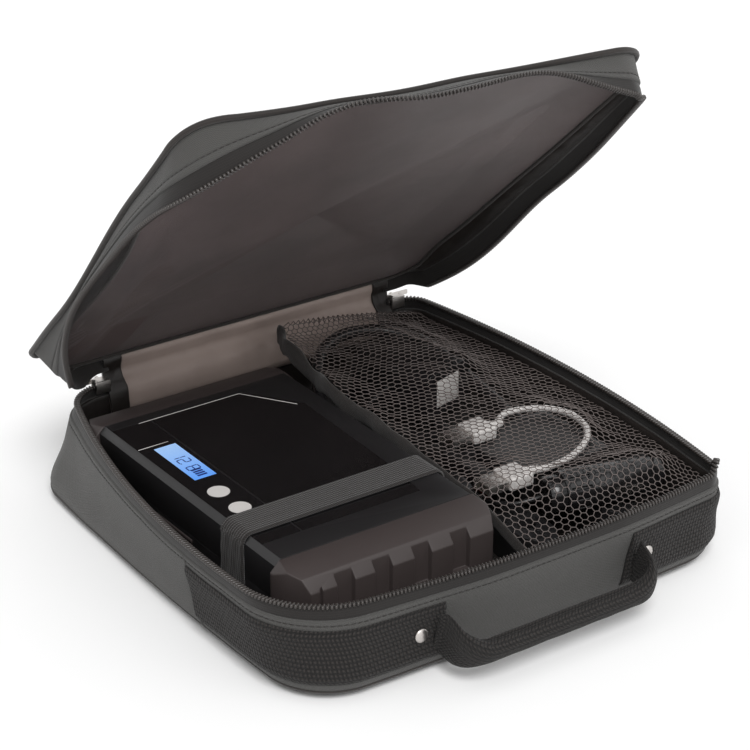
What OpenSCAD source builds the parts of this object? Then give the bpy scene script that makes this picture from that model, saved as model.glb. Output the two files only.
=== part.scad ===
// Jump starter pack: a soft zip case with a booster, its clamps, leads and chargers.
// Millimetres. Origin at the middle of the case's underside, +X to the right along
// the handle side, +Y towards the hinge, +Z up. The lid is drawn shut, then opened.

/* [Case] */
// Room on the floor between the left wall and the booster
left_room = 10.5; // [10:0.5:16]
// Width of the floor on the right of the booster, where the pocket is
pocket_w = 109.5; // [108:0.5:124]
// Room on the floor in front of the booster
front_room = 24; // [22:0.5:32]
// Room on the floor behind the booster
rear_room = 22.5; // [21:0.5:30]
// Height of the base's zip above the ground
rim_h = 46; // [45:0.5:52]
// Thickness of the padded outer cloth
cloth_t = 2.2; // [1.6:0.1:2.6]
// Thickness of the lining cloth
lining_t = 0.8; // [0.5:0.1:1.0]
// Thickness of the stiffening boards
board_t = 1.6; // [1.0:0.1:2.2]
// How far the front-left of the rim stands out past the floor
rim_out_left = 13; // [6:0.5:18]
// How far the rear-left of the rim is drawn in from the floor
rim_in_rear_left = 13; // [8:0.5:16]
// How far the rim stands out past the floor on the right
rim_out_right = 4; // [0:0.5:10]
// How far the rim stands out past the floor at the front and the rear
rim_out_ends = 4; // [1:0.5:8]
// Corner radius of the rim, front left
rim_corner_fl = 44; // [30:1:55]
// Corner radius of the rim, front right
rim_corner_fr = 12; // [8:1:20]
// Corner radius of the rim, rear left, which the left slider runs round
rim_corner_rl = 24; // [18:1:28]
// Corner radius of the rim, rear right, which the right slider runs round
rim_corner_rr = 14; // [12:1:18]
// Corner radius of the floor
floor_corner = 24; // [14:1:32]
// Bulge of the walls at half height
wall_bulge = 3; // [0:0.5:5]
// Diameter of the piping on the seams
piping_d = 2.2; // [1.6:0.1:3]

/* [Lid] */
// Depth of the lid's side band
lid_depth = 18; // [16:1:32]
// Opening angle at rest
lid_open = 41.5; // [25:0.5:60]
// Rise of the front-left corner, where the soft lid twists
lid_twist = 12; // [0:1:18]
// Rise of the zip edge at the middle of the front
lid_arch_front = 8; // [0:1:10]
// Rise of the zip edge on the left
lid_arch_left = 5; // [0:1:8]
// How far the front band splays forward at its middle
lid_splay = 20; // [0:1:24]
// Gap between the two halves of the zip when the lid is down
lid_gap = 0.6; // [0.4:0.1:1.2]
// How far the hinge line lies behind the rim
hinge_back = 4; // [3.5:0.1:6]

/* [Zip] */
// Height of the tape that shows between cloth and coil
tape_h = 5.2; // [4:0.2:7]
// Thickness of the tape
tape_t = 0.7; // [0.5:0.1:1]
// Width of the coil
coil_w = 2.6; // [2.2:0.1:3]
// Height of the coil
coil_h = 1.8; // [1.4:0.1:2.2]
// Length of a slider
slider_l = 8; // [7:0.5:9]
// Thickness of a slider's plates
slider_plate = 0.9; // [0.7:0.1:1.2]
// Room in a slider beside the coil on each side
slider_room = 0.75; // [0.65:0.05:1]
// Length of a pull
pull_l = 11; // [8:0.5:14]
// Diameter of the bar that a pull hangs on
bail_d = 1.2; // [1:0.1:1.6]
// Radial clearance of a pull on its bar
bail_gap = 0.08; // [0.05:0.01:0.1]

/* [Webbing and handle] */
// Width of the webbing
web_w = 25.4; // [20:0.2:30]
// Thickness of the webbing
web_t = 1.4; // [1:0.1:2]
// Height of the webbing's middle
web_z = 22; // [20:0.5:24]
// How far back the webbing reaches along the sides
web_back = 80; // [60:1:100]
// Distance between the two handle rivets
rivet_pitch = 128; // [110:1:140]
// Diameter of a rivet's head
rivet_d = 7; // [5:0.5:9]
// Reach of the handle from its fold to the middle of the grip
handle_reach = 17; // [16:1:34]
// Droop of the handle below level at rest
handle_droop = 18; // [14:1:32]
// Length of the handle's grip
grip_l = 92; // [70:1:104]
// Diameter of the handle's grip
grip_d = 12; // [10:0.5:15]

/* [Booster] */
// Width of the booster's case
unit_w = 110; // [104:1:114]
// Length of the booster's case between its bumpers
unit_l = 156.5; // [140:0.5:160]
// Height of the booster's case
unit_h = 41.7; // [38:0.1:43]
// Wall of the booster's case
unit_wall = 2.2; // [1.8:0.1:2.8]
// Chamfer on the long edges of the booster's case
unit_chamfer = 3; // [2:0.5:4]
// Height of the split between the two halves of the case
unit_split = 21; // [18:0.5:24]
// Length of each bumper
bumper_l = 21; // [18:0.5:22]
// How far a bumper stands out past the case on each side
bumper_out = 3; // [2:0.5:3]
// Height of the rubber feet
foot_h = 1.2; // [0.8:0.1:2]
// Diameter of the rubber feet
foot_d = 12; // [8:0.5:16]
// Depth of the recesses for the films on the top
film_t = 0.5; // [0.3:0.1:0.8]
// Diameter of the two buttons
button_d = 10.6; // [9:0.2:11.6]
// Travel of the two buttons
button_travel = 0.8; // [0.4:0.1:1]
// Clearance round a button and its stem
button_gap = 0.1; // [0.08:0.01:0.2]
// Distance between the two buttons
button_pitch = 18.5; // [17:0.5:19.5]
// Length of the display window
lcd_l = 38; // [30:1:42]
// Width of the display window
lcd_w = 12; // [9:0.5:13]
// Height of the port cover
cover_h = 11; // [10:0.5:12]
// Length of the port cover
cover_l = 46; // [46:1:50]
// Diameter of a battery cell
cell_d = 18.4; // [17:0.1:19]
// Length of a battery cell
cell_l = 65; // [60:0.5:66]

/* [Strap and pocket] */
// Width of the elastic strap over the booster
strap_w = 19; // [15:0.5:19.5]
// Thickness of the elastic strap
strap_t = 1.2; // [0.8:0.1:1.6]
// Distance from the second button's edge to the strap
strap_clear = 0.5; // [0.4:0.1:1.5]
// Thickness of the net
net_t = 0.8; // [0.6:0.1:1]
// Height of the net's edge on the walls
net_edge_z = 36; // [34:0.5:37]
// Rise of the net over what it holds
net_crown = 15; // [14:0.5:16]
// Width of the binding on the net's free edge
binding_w = 6; // [4:0.5:8]

/* [Accessories] */
// Width of the mains charger
charger_w = 34; // [28:1:36]
// Length of the mains charger
charger_l = 50; // [44:1:54]
// Height of the mains charger
charger_h = 24; // [20:1:25]
// Diameter of the vehicle plug
car_plug_d = 21; // [19:0.5:21.5]
// Length of the vehicle plug's barrel
car_plug_l = 38; // [32:1:40]
// Width of the lead module
module_w = 54; // [44:1:56]
// Length of the lead module
module_l = 50; // [40:1:52]
// Height of the lead module
module_h = 13; // [11:0.5:13]
// Length of a clamp from tip to handle end
clamp_l = 92; // [84:1:94]
// Thickness of a clamp
clamp_t = 18; // [15:0.5:18.5]
// Diameter of a clamp's pin
clamp_pin_d = 4; // [3:0.5:5]
// Diameter of a jump lead
jump_d = 6.5; // [5:0.5:6.5]
// Diameter of the USB lead
usb_d = 3.4; // [2.8:0.1:3.8]
// Diameter of the thin charging lead
thin_d = 2.4; // [2:0.1:2.8]

/* [Hidden] */

// Steps along each corner arc and each side of the case's outline
arc_steps = 5;
side_steps = 6;
hinge_steps = 3;

// Colours
cloth_colour = [0.28, 0.28, 0.27];
dark_colour = [0.13, 0.12, 0.11];
lining_colour = [0.30, 0.28, 0.27];
body_colour = [0.09, 0.09, 0.09];
bumper_colour = [0.28, 0.26, 0.25];
metal_colour = [0.72, 0.70, 0.69];

// ---- Levels
wall_top = rim_h - coil_h - tape_h;
bottom_z = cloth_t + board_t;
floor_top = bottom_z + lining_t;
edge_round = 4;
board_in = cloth_t + 3;
unit_z = floor_top + foot_h;
unit_top = unit_z + unit_h;
lid_rim = rim_h + lid_gap;
lid_wall_low = lid_rim + coil_h + tape_h;
lid_top = lid_rim + lid_depth + cloth_t;

// ---- Small sums on lists
function lerp(a, b, t) = a + (b - a) * t;
function slice(list, first, last) = [for (i = [first:last]) list[i]];
function clamp01(v) = min(1, max(0, v));
function bump(u) = sin(180 * clamp01(u));

// Points of an arc about a centre
function arc_points(centre, r, from, to) =
  [for (i = [0:arc_steps]) let (a = lerp(from, to, i / arc_steps)) centre + r * [cos(a), sin(a)]];

// Points between two places on a curve that leaves and arrives along two directions
function side_points(a, a_dir, b, b_dir) =
  let (reach = norm(b - a) / 3)
  [for (i = [1:side_steps - 1]) let (t = i / side_steps, s = 1 - t)
    s * s * s * a + 3 * s * s * t * (a + reach * a_dir)
    + 3 * s * t * t * (b - reach * b_dir) + t * t * t * b];

function heading(a) = [-sin(a), cos(a)];

// A closed outline, anticlockwise from the left end of the zip. corners holds, for the rear
// left, front left, front right and rear right, the centre, the radius and the two angles.
function outline(corners, zip_left, zip_right, back) =
  let (
    arcs = [for (c = corners) arc_points(c[0], c[1], c[2], c[3])],
    last = arc_steps,
    sides = [for (k = [0:2]) side_points(
      arcs[k][last], heading(corners[k][3]), arcs[k + 1][0], heading(corners[k + 1][2]))],
    hinge = [for (i = [1:hinge_steps - 1]) lerp([zip_right, back], [zip_left, back], i / hinge_steps)]
  )
  concat([[zip_left, back]], arcs[0], sides[0], arcs[1], sides[1], arcs[2], sides[2], arcs[3],
    [[zip_right, back]], hinge);

// ---- Outlines of the case: its floor takes the booster, the pocket and the room round them
floor_x = (left_room + unit_w + pocket_w) / 2;
floor_y = (front_room + unit_l + 2 * bumper_l + rear_room) / 2;
unit_left = -floor_x + left_room;
unit_right = unit_left + unit_w;
unit_x = unit_left + unit_w / 2;
unit_y = -floor_y + front_room + bumper_l + unit_l / 2;
rim_front = floor_y + rim_out_ends;
rim_back = floor_y + rim_out_ends;
rim_left = floor_x + rim_out_left;
rim_left_rear = floor_x - rim_in_rear_left;
rim_right = floor_x + rim_out_right;
left_run = [-rim_left_rear + rim_corner_rl, rim_back - rim_corner_rl];
right_run = [rim_right - rim_corner_rr, rim_back - rim_corner_rr];
// Slant of the left side, and how far each side turns outwards at its ends
left_slant = atan((rim_left - rim_left_rear) / (rim_front + rim_back - rim_corner_fl - rim_corner_rl));
left_turn = 11;
front_turn = 8;
right_turn = 10;
zip_end_room = 2;
zip_left_x = left_run[0] + slider_l / 2 + zip_end_room;
zip_right_x = right_run[0] - slider_l / 2 - zip_end_room;

rim_outline = outline([
  [left_run, rim_corner_rl, 90, 180 - left_slant - left_turn],
  [[-rim_left + rim_corner_fl, -rim_front + rim_corner_fl], rim_corner_fl,
    180 - left_slant + left_turn, 270 - front_turn],
  [[rim_right - rim_corner_fr, -rim_front + rim_corner_fr], rim_corner_fr,
    270 + front_turn, 360 - right_turn],
  [right_run, rim_corner_rr, right_turn, 90]
], zip_left_x, zip_right_x, rim_back);

// An oblong with round corners; the one at the rear right ends before the hinge begins
function plain_outline(left, right, front, back, r) =
  let (r_hinge = min(r, right - zip_right_x - 2))
  outline([
    [[-left + r, back - r], r, 90, 178],
    [[-left + r, -front + r], r, 182, 268],
    [[right - r, -front + r], r, 272, 358],
    [[right - r_hinge, back - r_hinge], r_hinge, 2, 90]
  ], zip_left_x, zip_right_x, back);

floor_outline = plain_outline(floor_x, floor_x, floor_y, floor_y, floor_corner);
// The lid's top panel is cut a little larger than the floor
panel_more = [6, 5, 7];
panel_back = 2;
panel_outline = plain_outline(floor_x + panel_more[0], floor_x + panel_more[1], floor_y + panel_more[2],
  rim_back - panel_back, floor_corner);

ring_count = len(rim_outline);
zip_last = ring_count - hinge_steps;
corner_left_last = arc_steps + 1;
corner_right_first = zip_last - arc_steps - 1;

// Each point moved towards the inside by d, square to the outline
function inset(ring, d) =
  let (n = len(ring))
  [for (i = [0:n - 1])
    let (t = ring[(i + 1) % n] - ring[(i + n - 1) % n])
    ring[i] + d * [-t[1], t[0]] / norm(t)];

function blend_rings(a, b, t) = [for (i = [0:len(a) - 1]) lerp(a[i], b[i], t)];

// The base's wall at height z, set in by d
function base_ring(z, d) =
  let (t = clamp01(z / rim_h))
  [for (p = inset(blend_rings(floor_outline, rim_outline, t), d - wall_bulge * bump(t))) [p[0], p[1], z]];

// The wall between its bands, so that what lies on it follows its facets
function wall_ring(z, d) = z < rim_h / 2
  ? blend_rings(base_ring(bottom_z, d), base_ring(rim_h / 2, d), (z - bottom_z) / (rim_h / 2 - bottom_z))
  : blend_rings(base_ring(rim_h / 2, d), base_ring(wall_top, d), (z - rim_h / 2) / (wall_top - rim_h / 2));

// The lid's wall at height z over the base, shut, set in by d, with its twist, arch and splay.
// A share below 1 gives a ring of the panel, drawn in towards its middle
function lid_ring(z, d, share = 1) =
  let (t = clamp01((z - lid_rim) / lid_depth))
  [for (p = inset(blend_rings(rim_outline, panel_outline, t), d) * share) shaped([p[0], p[1], z], 1 - t)];
panel_shares = [0.35, 0.7];
function panel_in(z, d) = [for (share = panel_shares) lid_ring(z, d, share)];
function panel_out(z, d) = [for (i = [len(panel_shares) - 1:-1:0]) lid_ring(z, d, panel_shares[i])];
function shaped(p, edge) =
  let (
    depth = clamp01((rim_back - p[1]) / (rim_back + rim_front)),
    across = clamp01((rim_right - p[0]) / (rim_right + rim_left)),
    on_left = clamp01((-p[0] - floor_x / 2) / (floor_x / 2)),
    on_front = clamp01((-p[1] - floor_y / 2) / (floor_y / 2)),
    front = bump(1 - across) * on_front * edge
  )
  [p[0], p[1] - lid_splay * front,
    p[2] + lid_twist * across * depth + lid_arch_left * on_left * bump(depth) * edge
    + lid_arch_front * front];

// ---- Skins over a row of like loops
function middle(loop) = [for (k = [0:2]) [for (p = loop) p[k]] * [for (p = loop) 1] / len(loop)];

// Rows from the one numbered turn on are split along their other diagonal, so that the inside
// of a thin wall has the same facets as its outside
// A ribbon's loops run out along one side and back along the other
module skin(loops, joined = false, turn = 1000, ribbon = false) {
  n = len(loops[0]);
  m = len(loops);
  rows = joined ? m : m - 1;
  points = concat([for (l = loops) each l], [middle(loops[0]), middle(loops[m - 1])]);
  walls = [for (i = [0:rows - 1], j = [0:n - 1])
    let (
      a = i * n + j, b = i * n + (j + 1) % n,
      c = ((i + 1) % m) * n + j, d = ((i + 1) % m) * n + (j + 1) % n
    )
    each i >= turn || (ribbon && j >= n / 2) ? [[a, c, d], [a, d, b]] : [[a, c, b], [b, c, d]]];
  fans = [for (j = [0:n - 1])
    each [[m * n, j, (j + 1) % n], [m * n + 1, (m - 1) * n + (j + 1) % n, (m - 1) * n + j]]];
  rungs = [for (j = [0:n / 2 - 2], row = [0, (m - 1) * n])
    let (a = row + j, b = row + n - 1 - j)
    each row == 0 ? [[a, a + 1, b], [b, a + 1, b - 1]] : [[a, b, a + 1], [b, b - 1, a + 1]]];
  polyhedron(joined || ribbon ? slice(points, 0, m * n - 1) : points,
    concat(walls, joined ? [] : ribbon ? rungs : fans), convexity = 8);
}

// A strip between two heights along part of a wall; ring_at gives the wall's ring
module base_strip(from, to, out, thick, low, high) {
  rings = [
    base_ring(low, out), base_ring(low, out + thick), base_ring(high, out + thick), base_ring(high, out)
  ];
  skin([for (i = [from:to]) [for (r = rings) r[i]]]);
}
module lid_strip(from, to, out, thick, low, high) {
  rings = [
    lid_ring(low, out), lid_ring(low, out + thick), lid_ring(high, out + thick), lid_ring(high, out)
  ];
  skin([for (i = [from:to]) [for (r = rings) r[i]]]);
}

// ---- Tubes along points
function unit_of(v) = v / norm(v);
function turned(list) =
  [for (i = [0:len(list) - 1]) unit_of(list[min(i + 1, len(list) - 1)] - list[max(i - 1, 0)])];
// A loop of the tube's points square to the direction d, kept level where it can be
function tube_loop(p, d, r, sides) =
  let (side = unit_of(cross(abs(d[2]) > 0.95 ? [1, 0, 0] : [0, 0, 1], d)), up = cross(d, side))
  [for (k = [0:sides - 1]) let (a = 360 * k / sides) p + r * (cos(a) * side + sin(a) * up)];
// Points of a smooth curve through the route, steps to each stretch
function through(route, steps) =
  let (n = len(route))
  concat([for (i = [0:n - 2], k = [0:steps - 1])
    let (
      a = route[max(i - 1, 0)], b = route[i], c = route[i + 1], d = route[min(i + 2, n - 1)], t = k / steps
    )
    0.5 * (2 * b + (c - a) * t + (2 * a - 5 * b + 4 * c - d) * t * t + (3 * b - a - 3 * c + d) * t * t * t)],
    [route[n - 1]]);
module tube(route, d, sides, steps) {
  points = through(route, steps);
  ways = turned(points);
  skin([for (i = [0:len(points) - 1]) tube_loop(points[i], ways[i], d / 2, sides)]);
}

// ==== Base ====

module base_shell() {
  color(cloth_colour) skin([
    base_ring(0, edge_round), base_ring(edge_round * 0.3, edge_round * 0.3), base_ring(bottom_z, 0),
    base_ring(rim_h / 2, 0), base_ring(wall_top, 0),
    base_ring(wall_top, cloth_t), base_ring(rim_h / 2, cloth_t), base_ring(bottom_z, cloth_t),
    base_ring(cloth_t, cloth_t + 1)
  ], turn = 4);
}

module base_lining() {
  color(lining_colour) skin([
    base_ring(bottom_z, cloth_t), base_ring(rim_h / 2, cloth_t), base_ring(wall_top, cloth_t),
    base_ring(wall_top, cloth_t + lining_t), base_ring(rim_h / 2, cloth_t + lining_t),
    wall_ring(floor_top, cloth_t + lining_t)
  ], turn = 2);
}

module base_floor_board() {
  color("saddlebrown") translate([0, 0, cloth_t]) linear_extrude(board_t)
    polygon(inset(floor_outline, board_in));
}

// A closed run of piping along a ring, held off the cloth by its gap
piping_gap = 0.1;
module piping(rim) {
  color(dark_colour) skin([for (i = [0:ring_count - 1])
    tube_loop(rim[i], unit_of(rim[(i + 1) % ring_count] - rim[(i + ring_count - 1) % ring_count]),
      piping_d / 2 - piping_gap, 6)], joined = true);
}
// Piping laid against the wall near the ground
module base_piping() {
  piping(base_ring(bottom_z + piping_d / 2, -piping_d / 2));
}

tape_in = (cloth_t + lining_t - tape_t) / 2;
coil_in = (cloth_t + lining_t - coil_w) / 2;

module base_zip_tape() {
  color(dark_colour) base_strip(0, zip_last, tape_in, tape_t, wall_top, rim_h - coil_h);
}
module base_zip_coil() {
  color(dark_colour) base_strip(0, zip_last, coil_in, coil_w, rim_h - coil_h, rim_h);
}

// ==== Hinge: one strip of cloth, drawn as its half on the base and its half on the lid ====
hinge_y = rim_back + hinge_back;
hinge_z = rim_h + lid_gap / 2;
hinge_cloth = 1;

module hinge_half() {
  inner = rim_back - cloth_t / 2;
  outer_y = hinge_y - lid_gap / 2;
  rise = hinge_z - wall_top;
  length = zip_right_x - zip_left_x;
  translate([zip_left_x, 0, 0]) rotate([90, 0, 90]) linear_extrude(length) polygon([
    [inner, 0], [inner, rise * 0.4], [outer_y - hinge_cloth, rise - lid_gap / 2],
    [outer_y, rise - lid_gap / 2], [inner + hinge_cloth, rise * 0.3], [inner + hinge_cloth, 0]
  ]);
}
module hinge_strip_base() {
  color(lining_colour) translate([0, 0, wall_top]) hinge_half();
}
module hinge_strip_lid() {
  color(lining_colour) opened() translate([0, 0, 2 * hinge_z - wall_top]) mirror([0, 0, 1]) hinge_half();
}

// ==== Lid ====
module opened() {
  translate([0, hinge_y, hinge_z]) rotate([-lid_open, 0, 0]) translate([0, -hinge_y, -hinge_z]) children();
}

lid_ceiling = lid_top - cloth_t;
lid_wall_mid = (lid_wall_low + lid_top) / 2;

module lid_shell() {
  color(cloth_colour) opened() skin(concat(panel_in(lid_ceiling, cloth_t), [
    lid_ring(lid_ceiling, cloth_t), lid_ring(lid_wall_mid, cloth_t), lid_ring(lid_wall_low, cloth_t),
    lid_ring(lid_wall_low, 0), lid_ring(lid_wall_mid, 0),
    lid_ring(lid_top - edge_round * 0.3, edge_round * 0.15), lid_ring(lid_top, edge_round)
  ], panel_out(lid_top, edge_round)), turn = 4);
}

board_gap = 0.15;
module lid_board() {
  low = lid_ceiling - board_t + board_gap;
  high = lid_ceiling - board_gap;
  color("saddlebrown") opened() skin(concat(panel_in(low, board_in),
    [lid_ring(low, board_in), lid_ring(high, board_in)], panel_out(high, board_in)));
}

lining_room = 0.3;
module lid_lining() {
  ceiling = lid_ceiling - board_t;
  out = cloth_t + lining_room;
  in = out + lining_t;
  color(lining_colour) opened() skin(concat(panel_in(ceiling - lining_t, in), [
    lid_ring(ceiling - lining_t, in), lid_ring(lid_wall_mid, in), lid_ring(lid_wall_low, in),
    lid_ring(lid_wall_low, out), lid_ring(lid_wall_mid, out), lid_ring(ceiling, out)
  ], panel_out(ceiling, out)), turn = 4);
}

// Piping round the edge of the lid's top panel
lid_piping_down = 1.4;
lid_piping_out = 0.7;
module lid_piping() {
  opened() piping(lid_ring(lid_top - lid_piping_down, -piping_d / 2 - lid_piping_out));
}

lid_tape_in = tape_in + 0.1;
module lid_zip_tape() {
  color(dark_colour) opened() lid_strip(0, zip_last, lid_tape_in, tape_t, lid_rim + coil_h, lid_wall_low);
}
// The upper coil stops at the rear corners, which the sliders run round
module lid_zip_coil() {
  color(dark_colour) opened()
    lid_strip(corner_left_last, corner_right_first, coil_in, coil_w, lid_rim, lid_rim + coil_h);
}

// ==== Zip sliders and pulls: each runs round its rear corner ====
slider_low = rim_h - 4.5;
slider_high = rim_h + 2;
slider_over = 0.3;
channel_half = coil_w / 2 + slider_room;
eye_wall = 0.6;
eye_r = bail_d / 2 + bail_gap + eye_wall;
bail_out = channel_half + slider_plate + eye_r + 0.2;
post_t = 0.7;
pull_gap = 0.1;
pull_h = 2.5;
pull_high = slider_high - post_t - pull_gap;
pull_low = pull_high - pull_h;
pull_t = 0.9;

// Drawn with the coil along X through the origin and the case's outside towards +Y
module slider() {
  difference() {
    translate([-slider_l / 2, -channel_half - slider_plate, slider_low])
      cube([slider_l, 2 * (channel_half + slider_plate), slider_high - slider_low]);
    translate([-slider_l, -channel_half, slider_low - 1])
      cube([2 * slider_l, 2 * channel_half, rim_h + slider_over - slider_low + 1]);
    for (end = [-1, 1]) translate([end * slider_l / 2, 0, rim_h]) cylinder(r = channel_half, h = 4, $fn = 32);
  }
  for (z = [pull_low - pull_gap - post_t, slider_high - post_t])
    translate([-bail_d / 2, channel_half, z]) cube([bail_d, bail_out - channel_half, post_t]);
  translate([0, bail_out, pull_low - pull_gap - post_t])
    cylinder(d = bail_d, h = slider_high - pull_low + pull_gap + post_t, $fn = 32);
}
// The pull, drawn lying towards -X
module pull() {
  difference() {
    translate([0, bail_out, pull_low]) union() {
      cylinder(r = eye_r, h = pull_high - pull_low, $fn = 32);
      translate([-pull_l, -pull_t / 2, 0]) cube([pull_l, pull_t, pull_high - pull_low]);
    }
    translate([0, bail_out, pull_low - 1]) cylinder(r = bail_d / 2 + bail_gap, h = pull_h + 2, $fn = 32);
  }
}
coil_middle = coil_in + coil_w / 2;
module on_left_corner() {
  translate([left_run[0], rim_back - coil_middle, 0]) children();
}
module on_right_corner() {
  translate([right_run[0], rim_back - coil_middle, 0]) mirror([1, 0, 0]) children();
}
module left_zip_slider() {
  color(metal_colour) on_left_corner() slider();
}
module left_zip_pull() {
  color(metal_colour) on_left_corner() pull();
}
module right_zip_slider() {
  color(metal_colour) on_right_corner() slider();
}
module right_zip_pull() {
  color(metal_colour) on_right_corner() pull();
}

// ==== Webbing, rivets and handle ====
function at_index(ring, u) = let (i = min(floor(u), ring_count - 2)) lerp(ring[i], ring[i + 1], u - i);

left_first = arc_steps + 1;
front_first = left_first + arc_steps + side_steps;
front_last = front_first + side_steps;
right_last = front_last + arc_steps + side_steps;
// Where on the ring the front wall passes a given x, and the sides a given y
web_ring = base_ring(rim_h / 2, 0);
function front_index(x) =
  lookup(x, [for (i = [front_first:front_last]) [web_ring[i][0], i]]);
function left_index(y) =
  lookup(-y, [for (i = [left_first:left_first + side_steps]) [-web_ring[i][1], i]]);
function right_index(y) =
  lookup(y, [for (i = [right_last - side_steps:right_last]) [web_ring[i][1], i]]);
function front_y(x) = at_index(web_ring, front_index(x))[1];

web_gap = 0.3;
module web(from, to) {
  levels = [web_z - web_w / 2, rim_h / 2, web_z + web_w / 2];
  outer = [for (z = levels) wall_ring(z, -web_gap - web_t)];
  inner = [for (z = levels) wall_ring(z, -web_gap)];
  rings = [outer[0], inner[0], inner[1], inner[2], outer[2], outer[1]];
  stations = concat([from], [for (i = [ceil(from + 0.01):floor(to - 0.01)]) i], [to]);
  skin([for (u = stations) [for (r = rings) at_index(r, u)]]);
}
// Where the webbing turns out into the handle, inside each rivet
web_end = rivet_pitch / 2 - 6;
web_start_y = -floor_y + web_back;
fold_r = 3;
module webbing_left() {
  color(dark_colour) web(left_index(web_start_y), front_index(-web_end + 2 * fold_r));
}
module webbing_right() {
  color(dark_colour) web(front_index(web_end - 2 * fold_r), right_index(web_start_y));
}

fold_gap = 0.3;
fold_w = 3.2;
fold_y = front_y(web_end) - web_gap - web_t - fold_gap - fold_r;
rivet_gap = 0.25;
rivet_rim = 0.8;
rivet_dome = 0.7;
module handle_rivets() {
  for (x = [-rivet_pitch / 2, rivet_pitch / 2]) color(metal_colour)
    translate([x, front_y(x) - web_gap - web_t - rivet_gap, web_z]) rotate([90, 0, 0]) {
      cylinder(d = rivet_d, h = rivet_rim, $fn = 40);
      translate([0, 0, rivet_rim]) cylinder(d1 = rivet_d, d2 = rivet_d * 0.6, h = rivet_dome, $fn = 40);
    }
}

// The handle, drawn level and then let droop about its fold
module drooped() {
  translate([0, fold_y, web_z]) rotate([handle_droop, 0, 0]) children();
}
// An oval of the handle, square to its path in plan; turn is the path's heading
function handle_loop(p, turn, half_thick, half_wide) =
  [for (k = [0:9]) let (a = 36 * k)
    [p[0] - half_thick * cos(a) * sin(turn), p[1] + half_thick * cos(a) * cos(turn), half_wide * sin(a)]];
// Along each arm: its shares of the way in and of the reach, heading, half thickness, half width
arm_loops = [
  [0, 0.24, -90, 1.4, web_w * 0.32],
  [0.05, 0.5, -85, 2.2, web_w * 0.38],
  [0.3, 0.8, -55, grip_d * 0.34, grip_d * 0.6],
  [1, 1, 0, grip_d / 2, grip_d / 2]
];
arm_root = 0.6;
module handle_arm() {
  root_x = web_end - fold_r;
  in = root_x - grip_l / 2;
  skin(concat(
    [handle_loop([-root_x, -arm_root], -90, 1.2, fold_r - arm_root)],
    [for (a = arm_loops) handle_loop([-root_x + in * a[0], -handle_reach * a[1]], a[2], a[3], a[4])]
  ));
}
module handle_strap() {
  color(dark_colour) drooped() {
    handle_arm();
    mirror([1, 0, 0]) handle_arm();
    for (x = [-web_end + fold_r, web_end - fold_r])
      translate([x - fold_w / 2, 0, 0]) rotate([0, 90, 0]) cylinder(r = fold_r, h = fold_w, $fn = 32);
  }
}
module handle_grip() {
  color(dark_colour) drooped() skin([for (x = [-grip_l / 2, 0, grip_l / 2])
    handle_loop([x, -handle_reach], 0, grip_d / 2, grip_d / 2)]);
}

// ==== Booster ====
fit = 0.1;
split_z = unit_z + unit_split;
nose_l = bumper_l - 7;
nose_in = 6;
pcb_t = 1.6;
cell_z = unit_z + unit_wall + cell_d / 2 + fit;
pcb_z = cell_z + cell_d / 2 + 1.8;
post_d = 6.4;
screw_d = 2.9;
head_d = 2 * screw_d;
head_h = 2;
post_x = unit_w / 2 - unit_wall - 3.4;
post_y = unit_l / 2 - unit_wall - 4;
post_lift = 0.5;
rest_back = 16;

// A bar along the booster with its long edges cut off, between two heights
module bar(half_w, low, high, length, cut) {
  translate([unit_x, unit_y + length / 2, 0]) rotate([90, 0, 0]) linear_extrude(length) polygon([
    [-half_w + cut, low], [half_w - cut, low], [half_w, low + cut], [half_w, high - cut],
    [half_w - cut, high], [-half_w + cut, high], [-half_w, high - cut], [-half_w, low + cut]
  ]);
}
module hollow_case() {
  inner_cut = max(unit_chamfer - unit_wall, 0.2);
  difference() {
    union() {
      bar(unit_w / 2, unit_z, unit_top, unit_l, unit_chamfer);
      bar(unit_w / 2 - nose_in, unit_z + nose_in, unit_top - nose_in, unit_l + 2 * nose_l, unit_chamfer);
    }
    bar(unit_w / 2 - unit_wall, unit_z + unit_wall, unit_top - unit_wall, unit_l - 2 * unit_wall, inner_cut);
    bar(unit_w / 2 - nose_in - unit_wall, unit_z + nose_in + unit_wall, unit_top - nose_in - unit_wall,
      unit_l + 2 * nose_l - 2 * unit_wall, inner_cut);
  }
}
// The four screw posts, or places nearer the middle by so much
module at_posts(back = 0) {
  for (x = [-1, 1], y = [-1, 1])
    translate([unit_x + x * post_x, unit_y + y * (post_y - back), 0]) children();
}
module half_space(low, high) {
  translate([unit_x - unit_w, unit_y - unit_l, low]) cube([2 * unit_w, 2 * unit_l, high - low]);
}

// Ports in the left wall, under a rubber cover that swings on its top edge
cover_t = 1.6;
barrel_r = 1.2;
barrel_gap = 0.08;
cover_top = split_z - 3;
cover_low = cover_top - cover_h;
cover_y = unit_y + 16;
cover_x = unit_left + cover_t / 2;
port_z = (cover_low + cover_top) / 2 - 0.5;
port_face = unit_left + cover_t + 2 * fit;
bay_x = unit_left + cover_t + 2;
socket_l = 18;
socket_h = 7.6;
usb_l = 12.6;
usb_h = 5;
port_in = 3;
socket_y = cover_y - cover_l / 2 + socket_l / 2 + port_in;
usb_y = cover_y + cover_l / 2 - usb_l / 2 - port_in;

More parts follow.
